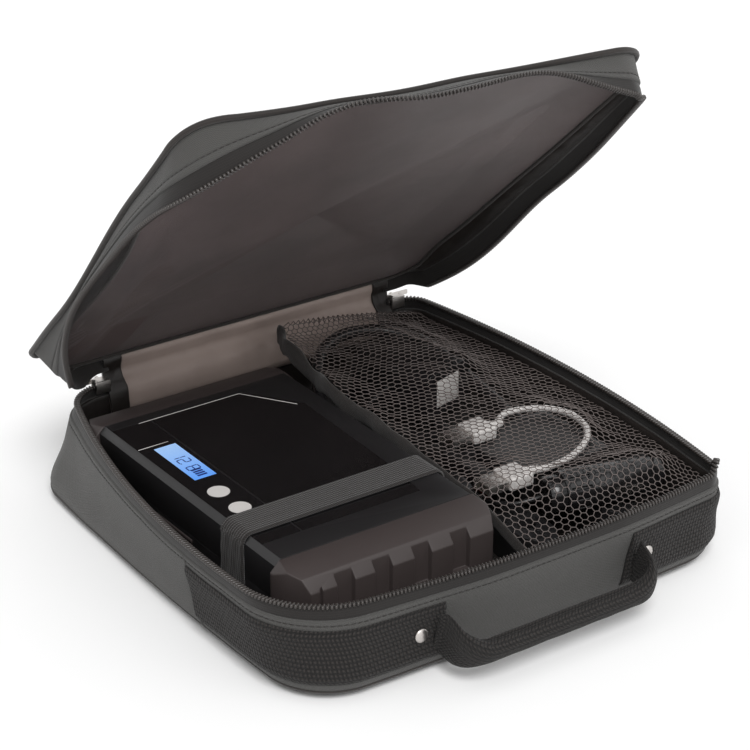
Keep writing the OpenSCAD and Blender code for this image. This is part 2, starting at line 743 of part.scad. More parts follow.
module unit_lower_case() {
  color(body_colour) difference() {
    union() {
      intersection() {
        hollow_case();
        half_space(unit_z, split_z);
      }
      at_posts() translate([0, 0, unit_z + post_lift])
        cylinder(d = post_d, h = split_z - unit_z - post_lift, $fn = 32);
      at_posts(rest_back) translate([0, 0, unit_z + post_lift])
        cylinder(d = post_d - 1, h = pcb_z - unit_z - post_lift, $fn = 32);
      translate([unit_left + 1, cover_y - cover_l / 2 - 2, cover_low - 2])
        cube([bay_x - unit_left - 1, cover_l + 4, split_z - cover_low + 2]);
    }
    at_posts() translate([0, 0, unit_z - 1]) {
      cylinder(d = screw_d + 0.4, h = unit_split + 2, $fn = 32);
      cylinder(d = head_d, h = 1 + screw_up + head_h, $fn = 32);
    }
    translate([unit_left - 1, cover_y - cover_l / 2 - fit, cover_low - fit])
      cube([1 + cover_t + 2 * fit, cover_l + 2 * fit, cover_h + fit]);
    translate([cover_x, cover_y - cover_l / 2 - fit, cover_top]) rotate([-90, 0, 0])
      cylinder(r = barrel_r + barrel_gap, h = cover_l + 2 * fit, $fn = 40);
    translate([unit_left - 1, cover_y - cover_l / 2 - fit, cover_top - 1])
      cube([1 + cover_t / 2, cover_l + 2 * fit, 1 + barrel_r + barrel_gap]);
    for (port = [[socket_y, socket_l, socket_h], [usb_y, usb_l, usb_h]])
      translate([unit_left, port[0] - port[1] / 2 - fit, port_z - port[2] / 2 - fit])
        cube([10, port[1] + 2 * fit, port[2] + 2 * fit]);
  }
}

// Places on the top, from the booster's left edge, its middle and its ends
button_x = unit_left + 13.3;
first_button_y = unit_y - 10;
second_button_y = first_button_y - button_pitch;
button_ys = [first_button_y, second_button_y];
lcd_x = unit_left + 16;
lcd_y = unit_y + 24.5;
film_w = 20.8;
film_apart = 1.2;
film_left = unit_left + 3.2;
label_left = film_left + film_w + film_apart;
film_back = unit_y + unit_l / 2 - 6.75;
film_front = unit_y - unit_l / 2 + 15.75;
film_floor = unit_top - film_t;

module film_outline(grow) {
  translate([film_left - grow, film_front - grow])
    square([film_w + 2 * grow, film_back - film_front + 2 * grow]);
}
// The label's slanted right side, as places in from the booster's edge and along it
label_side = [[20, film_front], [16.5, film_front + 32], [13.5, film_back - 28], [31.8, film_back]];
module label_outline(grow) {
  polygon(concat(
    [[label_left - grow, film_back + grow], [label_left - grow, film_front - grow]],
    [for (i = [0:3]) let (along = i == 0 ? -grow : i == 3 ? grow : 0)
      [unit_right - label_side[i][0] + grow, label_side[i][1] + along]]
  ));
}

module unit_upper_case() {
  color(body_colour) difference() {
    union() {
      intersection() {
        hollow_case();
        half_space(split_z, unit_top + 1);
      }
      at_posts() translate([0, 0, split_z])
        cylinder(d = post_d, h = unit_h - unit_split - 1, $fn = 32);
    }
    at_posts() translate([0, 0, split_z - 1]) cylinder(d = screw_d + 0.04, h = 12, $fn = 32);
    translate([0, 0, film_floor]) linear_extrude(2) film_outline(fit);
    translate([0, 0, film_floor]) linear_extrude(2) label_outline(fit);
    for (y = button_ys) translate([button_x, y, unit_top - 5])
      cylinder(d = button_d + 2 * button_gap, h = 6, $fn = 48);
    translate([lcd_x - lcd_w / 2, lcd_y - lcd_l / 2, unit_top - 5]) cube([lcd_w, lcd_l, 6]);
  }
}

module control_film() {
  color("black") translate([0, 0, film_floor]) difference() {
    linear_extrude(film_t) film_outline(0);
    for (y = button_ys) translate([button_x, y, -1])
      cylinder(d = button_d + 2 * button_gap, h = 3, $fn = 48);
    translate([lcd_x - lcd_w / 2, lcd_y - lcd_l / 2, -1]) cube([lcd_w, lcd_l, 3]);
  }
}
module label_film() {
  color("black") translate([0, 0, film_floor]) linear_extrude(film_t) label_outline(0);
}
module lcd_window() {
  color([0.55, 0.75, 0.95])
    translate([lcd_x - lcd_w / 2 + fit, lcd_y - lcd_l / 2 + fit, unit_top - unit_wall])
      cube([lcd_w - 2 * fit, lcd_l - 2 * fit, unit_wall]);
}
lcd_module_h = 4;
module lcd_module() {
  top = unit_top - unit_wall - fit;
  color([0.35, 0.5, 0.4]) translate([lcd_x - lcd_w / 2 - 1.5, lcd_y - lcd_l / 2 - 2, top - lcd_module_h])
    cube([lcd_w + 3, lcd_l + 4, lcd_module_h]);
  color(metal_colour) for (x = [-1, 1])
    translate([lcd_x + x * lcd_w / 2 - 0.5, lcd_y - lcd_l / 2, pcb_z + pcb_t + fit])
      cube([1, lcd_l, top - lcd_module_h - pcb_z - pcb_t - fit]);
}

// Two rows of cells end to end, with a busbar between the rows and one on each outer end
cell_pitch = cell_d + 0.4;
cell_across = 4;
cells_in = 7;
cells_x = unit_right - unit_wall - cells_in - cell_pitch * cell_across / 2;
busbar_t = 0.4;
busbar_gap = 0.2;
row_start = busbar_t + busbar_gap;
row_end = row_start + cell_l;
board_over = 0.45;
// The board is as long as the cells, with a round notch where a screw post stands in its way
module circuit_board() {
  color([0.05, 0.35, 0.2]) difference() {
    translate([unit_left + unit_wall + 1, unit_y - row_end - board_over, pcb_z])
      cube([unit_w - 2 * unit_wall - 2, 2 * (row_end + board_over), pcb_t]);
    at_posts() translate([0, 0, pcb_z - 1]) cylinder(d = post_d + 2 * fit, h = pcb_t + 2, $fn = 32);
  }
}
module battery_cells() {
  color([0.15, 0.4, 0.6]) for (i = [0:cell_across - 1], end = [-1, 1])
    translate([
      cells_x + (i - (cell_across - 1) / 2) * cell_pitch, unit_y + end * (row_start + cell_l / 2), cell_z
    ])
      rotate([90, 0, 0]) cylinder(d = cell_d, h = cell_l, center = true, $fn = 48);
}
// A busbar over so many cells, about a place
module busbar(x, y, cells) {
  length = cell_pitch * (cells - 0.2);
  color(metal_colour) translate([x - length / 2, y - busbar_t / 2, cell_z - cell_d * 0.3])
    cube([length, busbar_t, cell_d * 0.6]);
}
module cell_busbars() {
  for (end = [-1, 1], pair = [-1, 1])
    busbar(cells_x + pair * cell_pitch, unit_y + end * (row_end + busbar_t / 2 + 0.05), 2);
  busbar(cells_x, unit_y, cell_across);
}

stem_d = 4;
switch_w = 9;
switch_h = 7;
switch_floor = 1.5;
switch_top = pcb_z + pcb_t + switch_h;
module button_switches() {
  color("dimgray") for (y = button_ys) translate([button_x, y, pcb_z + pcb_t]) difference() {
    translate([-switch_w / 2, -switch_w / 2, 0]) cube([switch_w, switch_w, switch_h]);
    translate([0, 0, switch_floor]) cylinder(d = stem_d + 2 * button_gap, h = switch_h, $fn = 40);
  }
}
button_up = 0.2;
lip_t = 1.4;
lip_out = 1.2;
// The stem stops short of the switch's floor by its travel and some room
stem_in = switch_h - switch_floor - button_travel - 0.7;
module button(y) {
  lip_top = unit_top - unit_wall - fit;
  translate([button_x, y, 0]) {
    translate([0, 0, lip_top]) cylinder(d = button_d, h = unit_top - lip_top + button_up, $fn = 48);
    translate([0, 0, lip_top - lip_t]) cylinder(d = button_d + 2 * lip_out, h = lip_t, $fn = 48);
    translate([0, 0, switch_top - stem_in])
      cylinder(d = stem_d, h = unit_top - unit_wall - switch_top + stem_in - 1, $fn = 40);
  }
}
module power_button() {
  color("lightgray") button(first_button_y);
}
module start_button() {
  color("lightgray") button(second_button_y);
}

socket_pins = [socket_y - socket_l * 0.23, socket_y + socket_l * 0.23];
module output_socket() {
  color([0.1, 0.25, 0.6]) difference() {
    translate([port_face, socket_y - socket_l / 2, port_z - socket_h / 2]) {
      cube([14, socket_l, socket_h]);
      translate([3, 0, 0]) cube([11, socket_l, pcb_z - port_z + socket_h / 2]);
    }
    for (y = socket_pins) translate([port_face - 1, y, port_z]) rotate([0, 90, 0])
      cylinder(d = 5.8, h = 11, $fn = 40);
  }
  color("gold") for (y = socket_pins) translate([port_face + 2, y, port_z]) rotate([0, 90, 0])
    cylinder(d = 3.4, h = 8, $fn = 32);
}
module usb_sockets() {
  color("silver") translate([port_face, usb_y - usb_l / 2, port_z - usb_h / 2]) {
    difference() {
      union() {
        cube([13, usb_l, usb_h]);
        translate([5, 0, 0]) cube([8, usb_l, pcb_z - port_z + usb_h / 2]);
      }
      translate([-1, 0.6, 0.6]) cube([10, usb_l - 1.2, usb_h - 1.2]);
    }
    translate([1, 1.4, usb_h / 2 - 0.3]) cube([8, usb_l - 2.8, 1.2]);
  }
}
module port_cover() {
  color(bumper_colour) {
    translate([unit_left, cover_y - cover_l / 2, cover_low]) cube([cover_t, cover_l, cover_h - 0.2]);
    translate([cover_x, cover_y - cover_l / 2, cover_top]) rotate([-90, 0, 0])
      cylinder(r = barrel_r, h = cover_l, $fn = 40);
  }
}
screw_up = 0.4;
module unit_screws() {
  color(metal_colour) at_posts() translate([0, 0, unit_z + screw_up]) {
    cylinder(d = head_d - 0.3, h = head_h, $fn = 32);
    cylinder(d = screw_d, h = unit_split + 8, $fn = 32);
  }
}
module unit_feet() {
  color("black") for (x = [-1, 1], y = [-1, 1])
    translate([unit_x + x * unit_w * 0.36, unit_y + y * unit_l * 0.4, floor_top])
      cylinder(d = foot_d, h = foot_h, $fn = 48);
}

// The front bumper, its case end at y = 0 and its face towards -Y; three pads stand out of it
pad_places = [-21, 0.5, 22];
pad_w = 11;
pad_out = 3.5;
pad_low = 17;
bumper_cut = 5;
bumper_taper = 8;
bumper_drop = [3, 9];
ledge_z = 9;
groove_in = 13;
module bumper() {
  half = unit_w / 2 + bumper_out;
  far = -bumper_l;
  cut = bumper_cut;
  recess_w = pad_w * 0.85;
  recesses = concat([for (x = pad_places) x + pad_w / 2], [pad_places[0] - pad_w / 2 - recess_w]);
  difference() {
    intersection() {
      translate([0, 0, unit_z]) linear_extrude(unit_h) polygon([
        [-half, 0], [half, 0], [half, far * 0.12], [half - bumper_taper, far],
        [-half + bumper_taper, far], [-half, far * 0.12]
      ]);
      rotate([90, 0, 0]) linear_extrude(bumper_l) polygon([
        [-half, unit_z + cut], [-half + cut, unit_z], [half - cut, unit_z], [half, unit_z + cut],
        [half, unit_top - cut], [half - cut, unit_top], [-half + cut, unit_top], [-half, unit_top - cut]
      ]);
      translate([-half, 0, 0]) rotate([90, 0, 90]) linear_extrude(2 * half) polygon([
        [0, unit_top], [far * 0.78, unit_top - bumper_drop[0]], [far, unit_top - bumper_drop[1]],
        [far, unit_z + cut], [far + 4, unit_z], [0, unit_z]
      ]);
    }
    translate([-unit_w / 2 + nose_in - fit, -nose_l - fit, unit_z + nose_in - fit])
      cube([unit_w - 2 * nose_in + 2 * fit, nose_l + 1, unit_h - 2 * nose_in + 2 * fit]);
    for (x = recesses) translate([x, far - 1, unit_z + pad_low]) cube([recess_w, 1 + pad_out, unit_h]);
    translate([-half + groove_in, far - 1, unit_z + ledge_z - 1]) cube([1.2, 2.2, unit_h]);
    translate([-half, far - 1, unit_z + ledge_z]) cube([2 * half, 2.4, 3]);
  }
}
module front_bumper() {
  color(bumper_colour) translate([unit_x, unit_y - unit_l / 2, 0]) bumper();
}
module rear_bumper() {
  color(bumper_colour) translate([unit_x, unit_y + unit_l / 2, 0]) mirror([0, 1, 0]) bumper();
}

// ==== Elastic strap over the booster ====
strap_gap = 0.3;
strap_back_y = second_button_y - button_d / 2 - strap_clear;
strap_lift = 0.05;
strap_tail = [4, 7];
module elastic_strap() {
  left = unit_left - strap_gap;
  right = unit_right + strap_gap;
  low = floor_top + strap_lift;
  top = unit_top + strap_gap;
  t = strap_t;
  // How far the outside of each slanted corner starts from the booster's chamfer
  cut = unit_chamfer - t * 0.4;
  color(dark_colour) translate([0, strap_back_y, 0]) rotate([90, 0, 0]) linear_extrude(strap_w) polygon([
    [left - t - strap_tail[0], low], [left - t - strap_tail[0], low + t], [left - t, low + strap_tail[1] + 1],
    [left - t, top - cut], [left + cut, top + t], [right - cut, top + t], [right + t, top - cut],
    [right + t, low], [right, low], [right, top - unit_chamfer], [right - unit_chamfer, top],
    [left + unit_chamfer, top], [left, top - unit_chamfer], [left, low + strap_tail[1]],
    [left - strap_tail[0] + 1, low]
  ]);
}

// ==== Net pocket on the right of the booster ====
net_steps = 12;
net_gap = 0.4;
net_back_room = 6;
net_back_y = rim_back - cloth_t - lining_t - net_back_room;
// Points that are given from the booster's right side
function in_pocket(points) = [for (p = points) [p[0] + unit_right, p[1], p[2]]];
// The free edge of the net, from the rear wall along the booster to the front wall
pocket_edge = in_pocket([
  [20.5, 116, 53], [11.5, 90, 53], [6.5, 60, 51], [5.5, 25, 49], [5.5, -15, 46],
  [5.5, -45, 43], [6.5, -75, 39], [10.5, -100, 26], [13.5, -124, 15]
]);
edge_end = pocket_edge[len(pocket_edge) - 1];
function edge_x(y) = lookup(y, [for (p = pocket_edge) [p[1], p[0]]]);
function edge_z(y) = lookup(y, [for (p = pocket_edge) [p[1], p[2]]]);
net_ring = wall_ring(net_edge_z, cloth_t + lining_t + net_gap);
low_ring = wall_ring(edge_end[2] - binding_w, cloth_t + lining_t + net_gap);
function on_front(ring, x) =
  lookup(x, [for (i = [front_first + 1:front_last + arc_steps - 1]) [ring[i][0], ring[i][1]]]);
function net_front_y(x) =
  lerp(on_front(low_ring, x), on_front(net_ring, x), clamp01((x - edge_end[0]) / 40));
// How far in from the right the net turns its front corner, and its place beside the binding
net_corner = 8;
hem_gap = 0.9;
function net_right_x(y) =
  lookup(y, [for (i = [front_last + 1:right_last + arc_steps]) [net_ring[i][1], net_ring[i][0]]]);
function net_point(u, v, down) =
  let (
    left_y = lerp(net_back_y, net_front_y(edge_end[0]), v),
    right_y = lerp(net_back_y, net_front_y(rim_right - net_corner), v),
    x = lerp(edge_x(left_y) + hem_gap, net_right_x(right_y), u),
    y = lerp(net_back_y, net_front_y(x), v),
    rise = pow(bump(u), 0.3) * pow(bump(v), 0.3)
  )
  [x, y, lerp(edge_z(y), net_edge_z, pow(u, 0.45 + 0.55 * (1 - v))) + net_crown * rise - down];
module mesh_pocket() {
  color([0.2, 0.19, 0.18]) skin([for (i = [0:net_steps]) let (v = i / net_steps) concat(
    [for (j = [0:net_steps]) net_point(j / net_steps, v, net_t)],
    [for (j = [net_steps:-1:0]) net_point(j / net_steps, v, 0)]
  )], ribbon = true);
}
binding_t = 1.4;
module pocket_binding() {
  color(dark_colour) skin([for (i = [0:net_steps])
    let (
      y = lerp(net_back_y, net_front_y(edge_end[0]), i / net_steps),
      x = edge_x(y) + hem_gap - 0.05,
      z = edge_z(y) + 1
    )
    [[x - binding_t, y, z - binding_w], [x, y, z - binding_w], [x, y, z], [x - binding_t, y, z]]]);
}

// ==== Things in the pocket: clamps below, the lead module and the charger on them ====
layer_gap = 0.3;
lower_z = floor_top + layer_gap;
upper_z = lower_z + clamp_t + layer_gap;

clamp_jaw = 38;
clamp_y = -62;
clamp_xs = [unit_right + 28.5, unit_right + 76.5];
knuckle_r = 6;
knuckle_h = clamp_t * 0.25;
pin_gap = 0.08;
handle_l = clamp_l - clamp_jaw;

// One half of a clamp in plan: the jaw towards -Y, the handle towards +Y, all at x < 0
module clamp_plan() {
  difference() {
    polygon([
      [-0.2, -clamp_jaw], [-5, -clamp_jaw + 1], [-9.5, -clamp_jaw * 0.75], [-10.5, -clamp_jaw * 0.35],
      [-9, 0], [-11, 10], [-20, handle_l - 4], [-19, handle_l], [-12.5, handle_l], [-6, 16], [-2.5, 8],
      [-0.2, 5]
    ]);
    translate([0, -clamp_jaw * 0.5]) circle(r = 4.5, $fn = 32);
    for (i = [0:3]) translate([-0.2, -clamp_jaw * 0.72 - i * 2.6]) rotate(45) square(1.4, center = true);
  }
}
module clamp_half(pivots) {
  difference() {
    union() {
      linear_extrude(clamp_t) clamp_plan();
      for (z = pivots) translate([0, 0, z[0]]) cylinder(r = knuckle_r, h = z[1], $fn = 40);
    }
    for (z = pivots == outer_knuckles ? inner_room : outer_room)
      translate([0, 0, z[0]]) cylinder(r = knuckle_r + 0.4, h = z[1], $fn = 40);
    translate([0, 0, -1]) cylinder(d = clamp_pin_d + 2 * pin_gap, h = clamp_t + 2, $fn = 40);
  }
}
outer_knuckles = [[0, knuckle_h], [clamp_t - knuckle_h, knuckle_h]];
inner_knuckles = [[knuckle_h + 0.3, clamp_t - 2 * knuckle_h - 0.6]];
inner_room = [[knuckle_h, clamp_t - 2 * knuckle_h]];
outer_room = [[-1, knuckle_h + 1.3], [clamp_t - knuckle_h - 0.3, knuckle_h + 1.3]];

module clamp_lower(x) {
  translate([x, clamp_y, lower_z]) clamp_half(outer_knuckles);
}
module clamp_upper(x) {
  translate([x, clamp_y, lower_z]) mirror([1, 0, 0]) clamp_half(inner_knuckles);
}
module red_clamp_lower() {
  color([0.7, 0.1, 0.08]) clamp_lower(clamp_xs[0]);
}
module red_clamp_upper() {
  color([0.7, 0.1, 0.08]) clamp_upper(clamp_xs[0]);
}
module black_clamp_lower() {
  color(body_colour) clamp_lower(clamp_xs[1]);
}
module black_clamp_upper() {
  color(body_colour) clamp_upper(clamp_xs[1]);
}
module clamp_pins() {
  color(metal_colour) for (x = clamp_xs) translate([x, clamp_y, lower_z + 0.2])
    cylinder(d = clamp_pin_d, h = clamp_t - 0.4, $fn = 40);
}

module_x = unit_right + 67.5;
module_y = -37;
module_frame = 4;
module_sink = 0.4;
module_ears = [8, module_l - 8];
plug_w = 7.9;
plug_h = 8;
plug_in = 2.5;
module lead_module() {
  low = [module_x - module_w / 2, module_y - module_l / 2, upper_z];
  color(body_colour) translate(low) difference() {
    union() {
      cube([module_w, module_l, module_h]);
      for (y = module_ears) translate([-5, y - 5, module_h / 2 - 4.5]) cube([6, 10, 9]);
    }
    translate([module_frame, module_frame, module_h - module_sink])
      cube([module_w - 2 * module_frame, module_l - 2 * module_frame, 1]);
  }
  color([0.1, 0.25, 0.6]) translate(low + [-5.1 - plug_w, plug_in, (module_h - plug_h) / 2])
    cube([plug_w, module_l - 2 * plug_in, plug_h]);
}
// The leads run from the clamps' handles round the back of the pocket to the module
clamp_lead_z = lower_z + clamp_t / 2;
module_lead_z = upper_z + module_h / 2;
lead_start_y = clamp_y + handle_l + 0.1;
lead_end_y = module_y + module_l / 2 + 0.1;
red_lead = in_pocket([
  [12.5, lead_start_y, clamp_lead_z], [12.5, -2, clamp_lead_z], [12.5, 6, 14], [13.5, 40, 14],
  [18.5, 75, 20], [30.5, 98, 36], [44.5, 105, 43], [61.5, 105, 44], [77.5, 98, 42], [89.5, 80, 38],
  [93.5, 52, 30], [91.5, 20, 27], [84.5, 0, module_lead_z], [84.5, -6, module_lead_z],
  [84.5, lead_end_y, module_lead_z]
]);
black_lead = in_pocket([
  [60.5, lead_start_y, clamp_lead_z], [60.5, -2, clamp_lead_z], [60.5, 6, 14], [63.5, 35, 17],
  [68.5, 70, upper_z - jump_d / 2 - 0.1], [60.5, 96, 15], [42.5, 94, 12], [34.5, 70, 12],
  [40.5, 30, 18], [52.5, 5, 28], [54.5, -5, module_lead_z], [54.5, lead_end_y, module_lead_z]
]);
module jump_leads() {
  color([0.6, 0.1, 0.08]) tube(red_lead, jump_d, 10, 3);
  color(body_colour) tube(black_lead, jump_d, 10, 3);
}

charger_place = [unit_right + 62.5, 60, upper_z];
charger_turn = 15;
module at_charger() {
  translate(charger_place) rotate([0, 0, charger_turn]) children();
}
charger_round = 3;
pin_xs = [-6, 6];
pin_w = 1.8;
pin_h = 6;
pin_in = 4;
pin_l = 17;
label_w = 17.6;
label_tall = 15;
label_low = 4.5;
label_t = 0.4;
module charger_body() {
  color(body_colour) at_charger() difference() {
    rotate([90, 0, 0]) translate([0, 0, -charger_l / 2]) linear_extrude(charger_l) polygon([
      [-charger_w / 2 + charger_round, 0], [charger_w / 2 - charger_round, 0], [charger_w / 2, charger_round],
      [charger_w / 2, charger_h - charger_round], [charger_w / 2 - charger_round, charger_h],
      [-charger_w / 2 + charger_round, charger_h], [-charger_w / 2, charger_h - charger_round],
      [-charger_w / 2, charger_round]
    ]);
    translate([-label_w / 2 - fit, -charger_l / 2 - 1, label_low - fit])
      cube([label_w + 2 * fit, 1 + label_t, label_tall + 2 * fit]);
    for (x = pin_xs) translate([x - pin_w / 2 - fit, charger_l / 2 - pin_in, (charger_h - pin_h) / 2 - fit])
      cube([pin_w + 2 * fit, pin_in + 1, pin_h + 2 * fit]);
  }
}
module charger_label() {
  color("white") at_charger() translate([-label_w / 2, -charger_l / 2, label_low])
    cube([label_w, label_t, label_tall]);
}
module charger_pins() {
  color(metal_colour) at_charger() for (x = pin_xs)
    translate([x - pin_w / 2, charger_l / 2 - pin_in, (charger_h - pin_h) / 2]) cube([pin_w, pin_l, pin_h]);
}

car_plug_place = [unit_right + 62.5, -84, upper_z + car_plug_d / 2];
car_plug_turn = -12;
module at_car_plug() {
  translate(car_plug_place) rotate([0, 0, car_plug_turn]) rotate([0, 90, 0]) children();
}
grip_back = 23;
collar_l = 8;
nose_cap_l = 6;
tip_d = 6;
tip_l = 10;
tip_in = 7.9;
spring_w = 4;
spring_t = 2.8;
spring_l = 14;
spring_z = 10;
module car_plug_body() {
  color(body_colour) at_car_plug() difference() {
    union() {
      translate([0, 0, -grip_back]) cylinder(d = car_plug_d - 3, h = collar_l, $fn = 48);
      translate([0, 0, -grip_back + collar_l]) cylinder(d = car_plug_d, h = grip_back - collar_l, $fn = 48);
      cylinder(d = car_plug_d - 0.6, h = car_plug_l - nose_cap_l, $fn = 48);
      translate([0, 0, car_plug_l - nose_cap_l]) cylinder(d = car_plug_d - 6, h = nose_cap_l, $fn = 48);
    }
    translate([0, 0, car_plug_l - tip_in - fit]) cylinder(d = tip_d + 2 * fit, h = tip_l, $fn = 40);
    at_springs(fit);
    for (a = [0:30:330]) rotate(a) translate([car_plug_d / 2, 0, -grip_back + collar_l + 2])
      cylinder(r = 0.9, h = grip_back - collar_l - 4, $fn = 16);
  }
}
// The two side contacts, or the slots that hold them
module at_springs(room) {
  for (y = [-1, 1])
    translate([-spring_w / 2 - room, y * (car_plug_d / 2 - 1.3) - spring_t / 2 - room, spring_z - room])
      cube([spring_w + 2 * room, spring_t + 2 * room, spring_l + 2 * room]);
}
module car_plug_contacts() {
  color(metal_colour) at_car_plug() {
    translate([0, 0, car_plug_l - tip_in]) cylinder(d = tip_d, h = tip_l, $fn = 40);
    at_springs(0);
  }
}
thin_z = upper_z + 5;
charger_lead = in_pocket([
  [45.9, 55.5, charger_place[2] + charger_h / 2], [38.5, 53.5, 34], [26.5, 48, 32], [20.5, 38, 29],
  [20.5, 28, thin_z], [20.5, 22, thin_z]
]);
car_lead = in_pocket([
  [39.8, -79.2, car_plug_place[2]], [33.5, -78, 33], [25.5, -73, 31], [20.5, -62, 29],
  [20.5, -54, thin_z], [20.5, -48, thin_z]
]);
barrel_l = 22;
barrel_d = 8;
// A thin lead and the barrel plug on its end, which points along Y
module thin_lead(route, way) {
  color(body_colour) tube(route, thin_d, 8, 3);
  color("dimgray") translate(route[len(route) - 1] + [0, 0.05 * way, 0]) rotate([-90 * way, 0, 0])
    cylinder(d = barrel_d, h = barrel_l, $fn = 32);
}
module charge_lead() {
  thin_lead(charger_lead, -1);
  thin_lead(car_lead, 1);
}

// ==== USB lead on top, with a plug at each end ====
usb_grip = [14, 15, 6.8];
usb_shell = [12, 12, 4.4];
usb_wall = 0.6;
usb_z = upper_z + module_h + layer_gap + usb_grip[2] / 2;
usb_route = in_pocket([
  [54.5, -17, usb_z], [58.5, -17, usb_z], [64.5, -13, 40], [70.5, -10, 40], [78.5, -11, 40],
  [85.5, -14, 40], [92.5, -20, 40], [96.5, -31, 40], [93.5, -45, 40], [86.5, -54, 40], [76.5, -61, 40],
  [63.5, -66, 40], [50.5, -67, 40], [43.5, -65, usb_z], [39.5, -65, usb_z]
]);
module usb_lead() {
  color("white") tube(usb_route, usb_d, 8, 2);
}
module usb_plug() {
  color("white") translate([-usb_grip[0], -usb_grip[1] / 2, -usb_grip[2] / 2]) cube(usb_grip);
  color(metal_colour) translate([-usb_grip[0] - usb_shell[0], -usb_shell[1] / 2, -usb_shell[2] / 2])
    difference() {
      cube(usb_shell);
      translate([-1, usb_wall, usb_wall])
        cube([10, usb_shell[1] - 2 * usb_wall, usb_shell[2] - 2 * usb_wall]);
    }
}
module usb_plugs() {
  for (end = [usb_route[0], usb_route[len(usb_route) - 1]]) translate(end) usb_plug();
}

base_shell();
base_lining();
base_floor_board();
base_piping();
base_zip_tape();
base_zip_coil();
hinge_strip_base();
webbing_left();
webbing_right();
handle_rivets();
elastic_strap();
mesh_pocket();
pocket_binding();
lid_shell();
lid_lining();
lid_board();
lid_piping();
lid_zip_tape();
lid_zip_coil();
hinge_strip_lid();
handle_strap();
handle_grip();
left_zip_slider();
left_zip_pull();
right_zip_slider();
right_zip_pull();
unit_lower_case();
unit_upper_case();
front_bumper();
rear_bumper();
label_film();
control_film();
lcd_window();
lcd_module();
circuit_board();
battery_cells();
cell_busbars();
button_switches();
output_socket();
usb_sockets();
unit_screws();
unit_feet();
power_button();
start_button();
port_cover();
charger_body();
charger_label();
charger_pins();
car_plug_body();
car_plug_contacts();
charge_lead();
lead_module();
jump_leads();
red_clamp_lower();
red_clamp_upper();
black_clamp_lower();
black_clamp_upper();
clamp_pins();
usb_lead();
usb_plugs();
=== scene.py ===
"""Looks of a jump starter pack in its zip case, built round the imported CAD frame."""

import functools
import math

import bmesh
import bpy
import numpy as np
from mathutils import Matrix, Vector, noise
from mathutils.bvhtree import BVHTree


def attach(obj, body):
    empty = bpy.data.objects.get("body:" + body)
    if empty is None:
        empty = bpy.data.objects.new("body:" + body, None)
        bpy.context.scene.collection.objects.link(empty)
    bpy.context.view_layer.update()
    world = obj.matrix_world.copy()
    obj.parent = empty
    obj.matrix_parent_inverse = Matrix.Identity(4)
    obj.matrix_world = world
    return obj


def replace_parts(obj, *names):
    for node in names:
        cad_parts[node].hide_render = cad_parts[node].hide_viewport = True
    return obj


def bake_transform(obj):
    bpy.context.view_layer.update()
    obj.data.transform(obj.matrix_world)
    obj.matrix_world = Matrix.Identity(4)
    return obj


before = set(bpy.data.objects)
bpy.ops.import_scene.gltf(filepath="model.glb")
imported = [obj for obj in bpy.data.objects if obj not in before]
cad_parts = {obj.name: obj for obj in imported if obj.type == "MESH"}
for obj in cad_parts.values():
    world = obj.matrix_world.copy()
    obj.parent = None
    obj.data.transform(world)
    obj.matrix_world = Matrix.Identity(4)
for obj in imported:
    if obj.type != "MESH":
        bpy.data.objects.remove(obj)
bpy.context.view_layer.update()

bl_info = {
    "name": "Jump starter pack",
    "version": (1, 0, 0),
    "blender": (4, 5, 0),
    "location": "3D View > Sidebar > Starter Pack",
    "description": "Builds the case, booster, net pocket and leads of a jump starter pack",
    "category": "Add Mesh",
}

MM = 0.001

# ---- Sizes that follow the CAD source, in millimetres
FLOOR_X, FLOOR_Y = 115.0, 122.5
RIM_H, WALL_TOP, FLOOR_TOP, BOTTOM_Z = 46.0, 39.0, 4.6, 3.8
CLOTH_T, LINING_T, BOARD_T = 2.2, 0.8, 1.6
RIM_BACK = 126.5
WALL_BULGE, EDGE_ROUND = 3.0, 4.0
ZIP_LEFT, ZIP_RIGHT = -72.0, 99.0
LID_RIM, LID_DEPTH, LID_LOW, LID_TOP = 46.6, 18.0, 53.6, 66.8
LID_OPEN, LID_TWIST, LID_ARCH_LEFT, LID_ARCH_FRONT, LID_SPLAY = 41.5, 12.0, 5.0, 8.0, 20.0
RIM_LEFT, RIM_RIGHT = 128.0, 119.0
HINGE_Y, HINGE_Z = 130.5, 46.3
HINGE = np.array([0, HINGE_Y, HINGE_Z])
TAPE_T, COIL_IN, COIL_W, COIL_H = 0.7, 0.2, 2.6, 1.8
WEB_W, WEB_T, WEB_Z, WEB_GAP, WEB_START_Y, WEB_END_X = 25.4, 1.4, 22.0, 0.3, -42.5, 52.0
RIVET_X, RIVET_D = 64.0, 7.0
FOLD_X, FOLD_Y, HANDLE_REACH, HANDLE_DROOP = 55.0, -135.249, 17.0, 18.0
UNIT_LEFT, UNIT_RIGHT, UNIT_TOP = -104.5, 5.5, 47.5
STRAP_BACK, STRAP_FRONT, STRAP_T, STRAP_GAP = -33.55, -52.55, 1.2, 0.3
NET_CROWN, NET_EDGE_Z, NET_BACK = 15.0, 36.0, 117.5
LCD = (-94.5, -82.5, 6.25, 44.25)

# How far the loose cloth settles out near the floor, and up to what height
SETTLE, SETTLE_TOP = 4.8, 30.0
# Where the base's zip stands up: place and reach along the outline, how far, and from what height
PEAK, PEAK_HEIGHT, PEAK_FOOT = (134, 9), 5.0, 38.6
# Over how many points of the outline the lid's wall comes free of the hinge at each end of the zip
FREE_OVER = 8
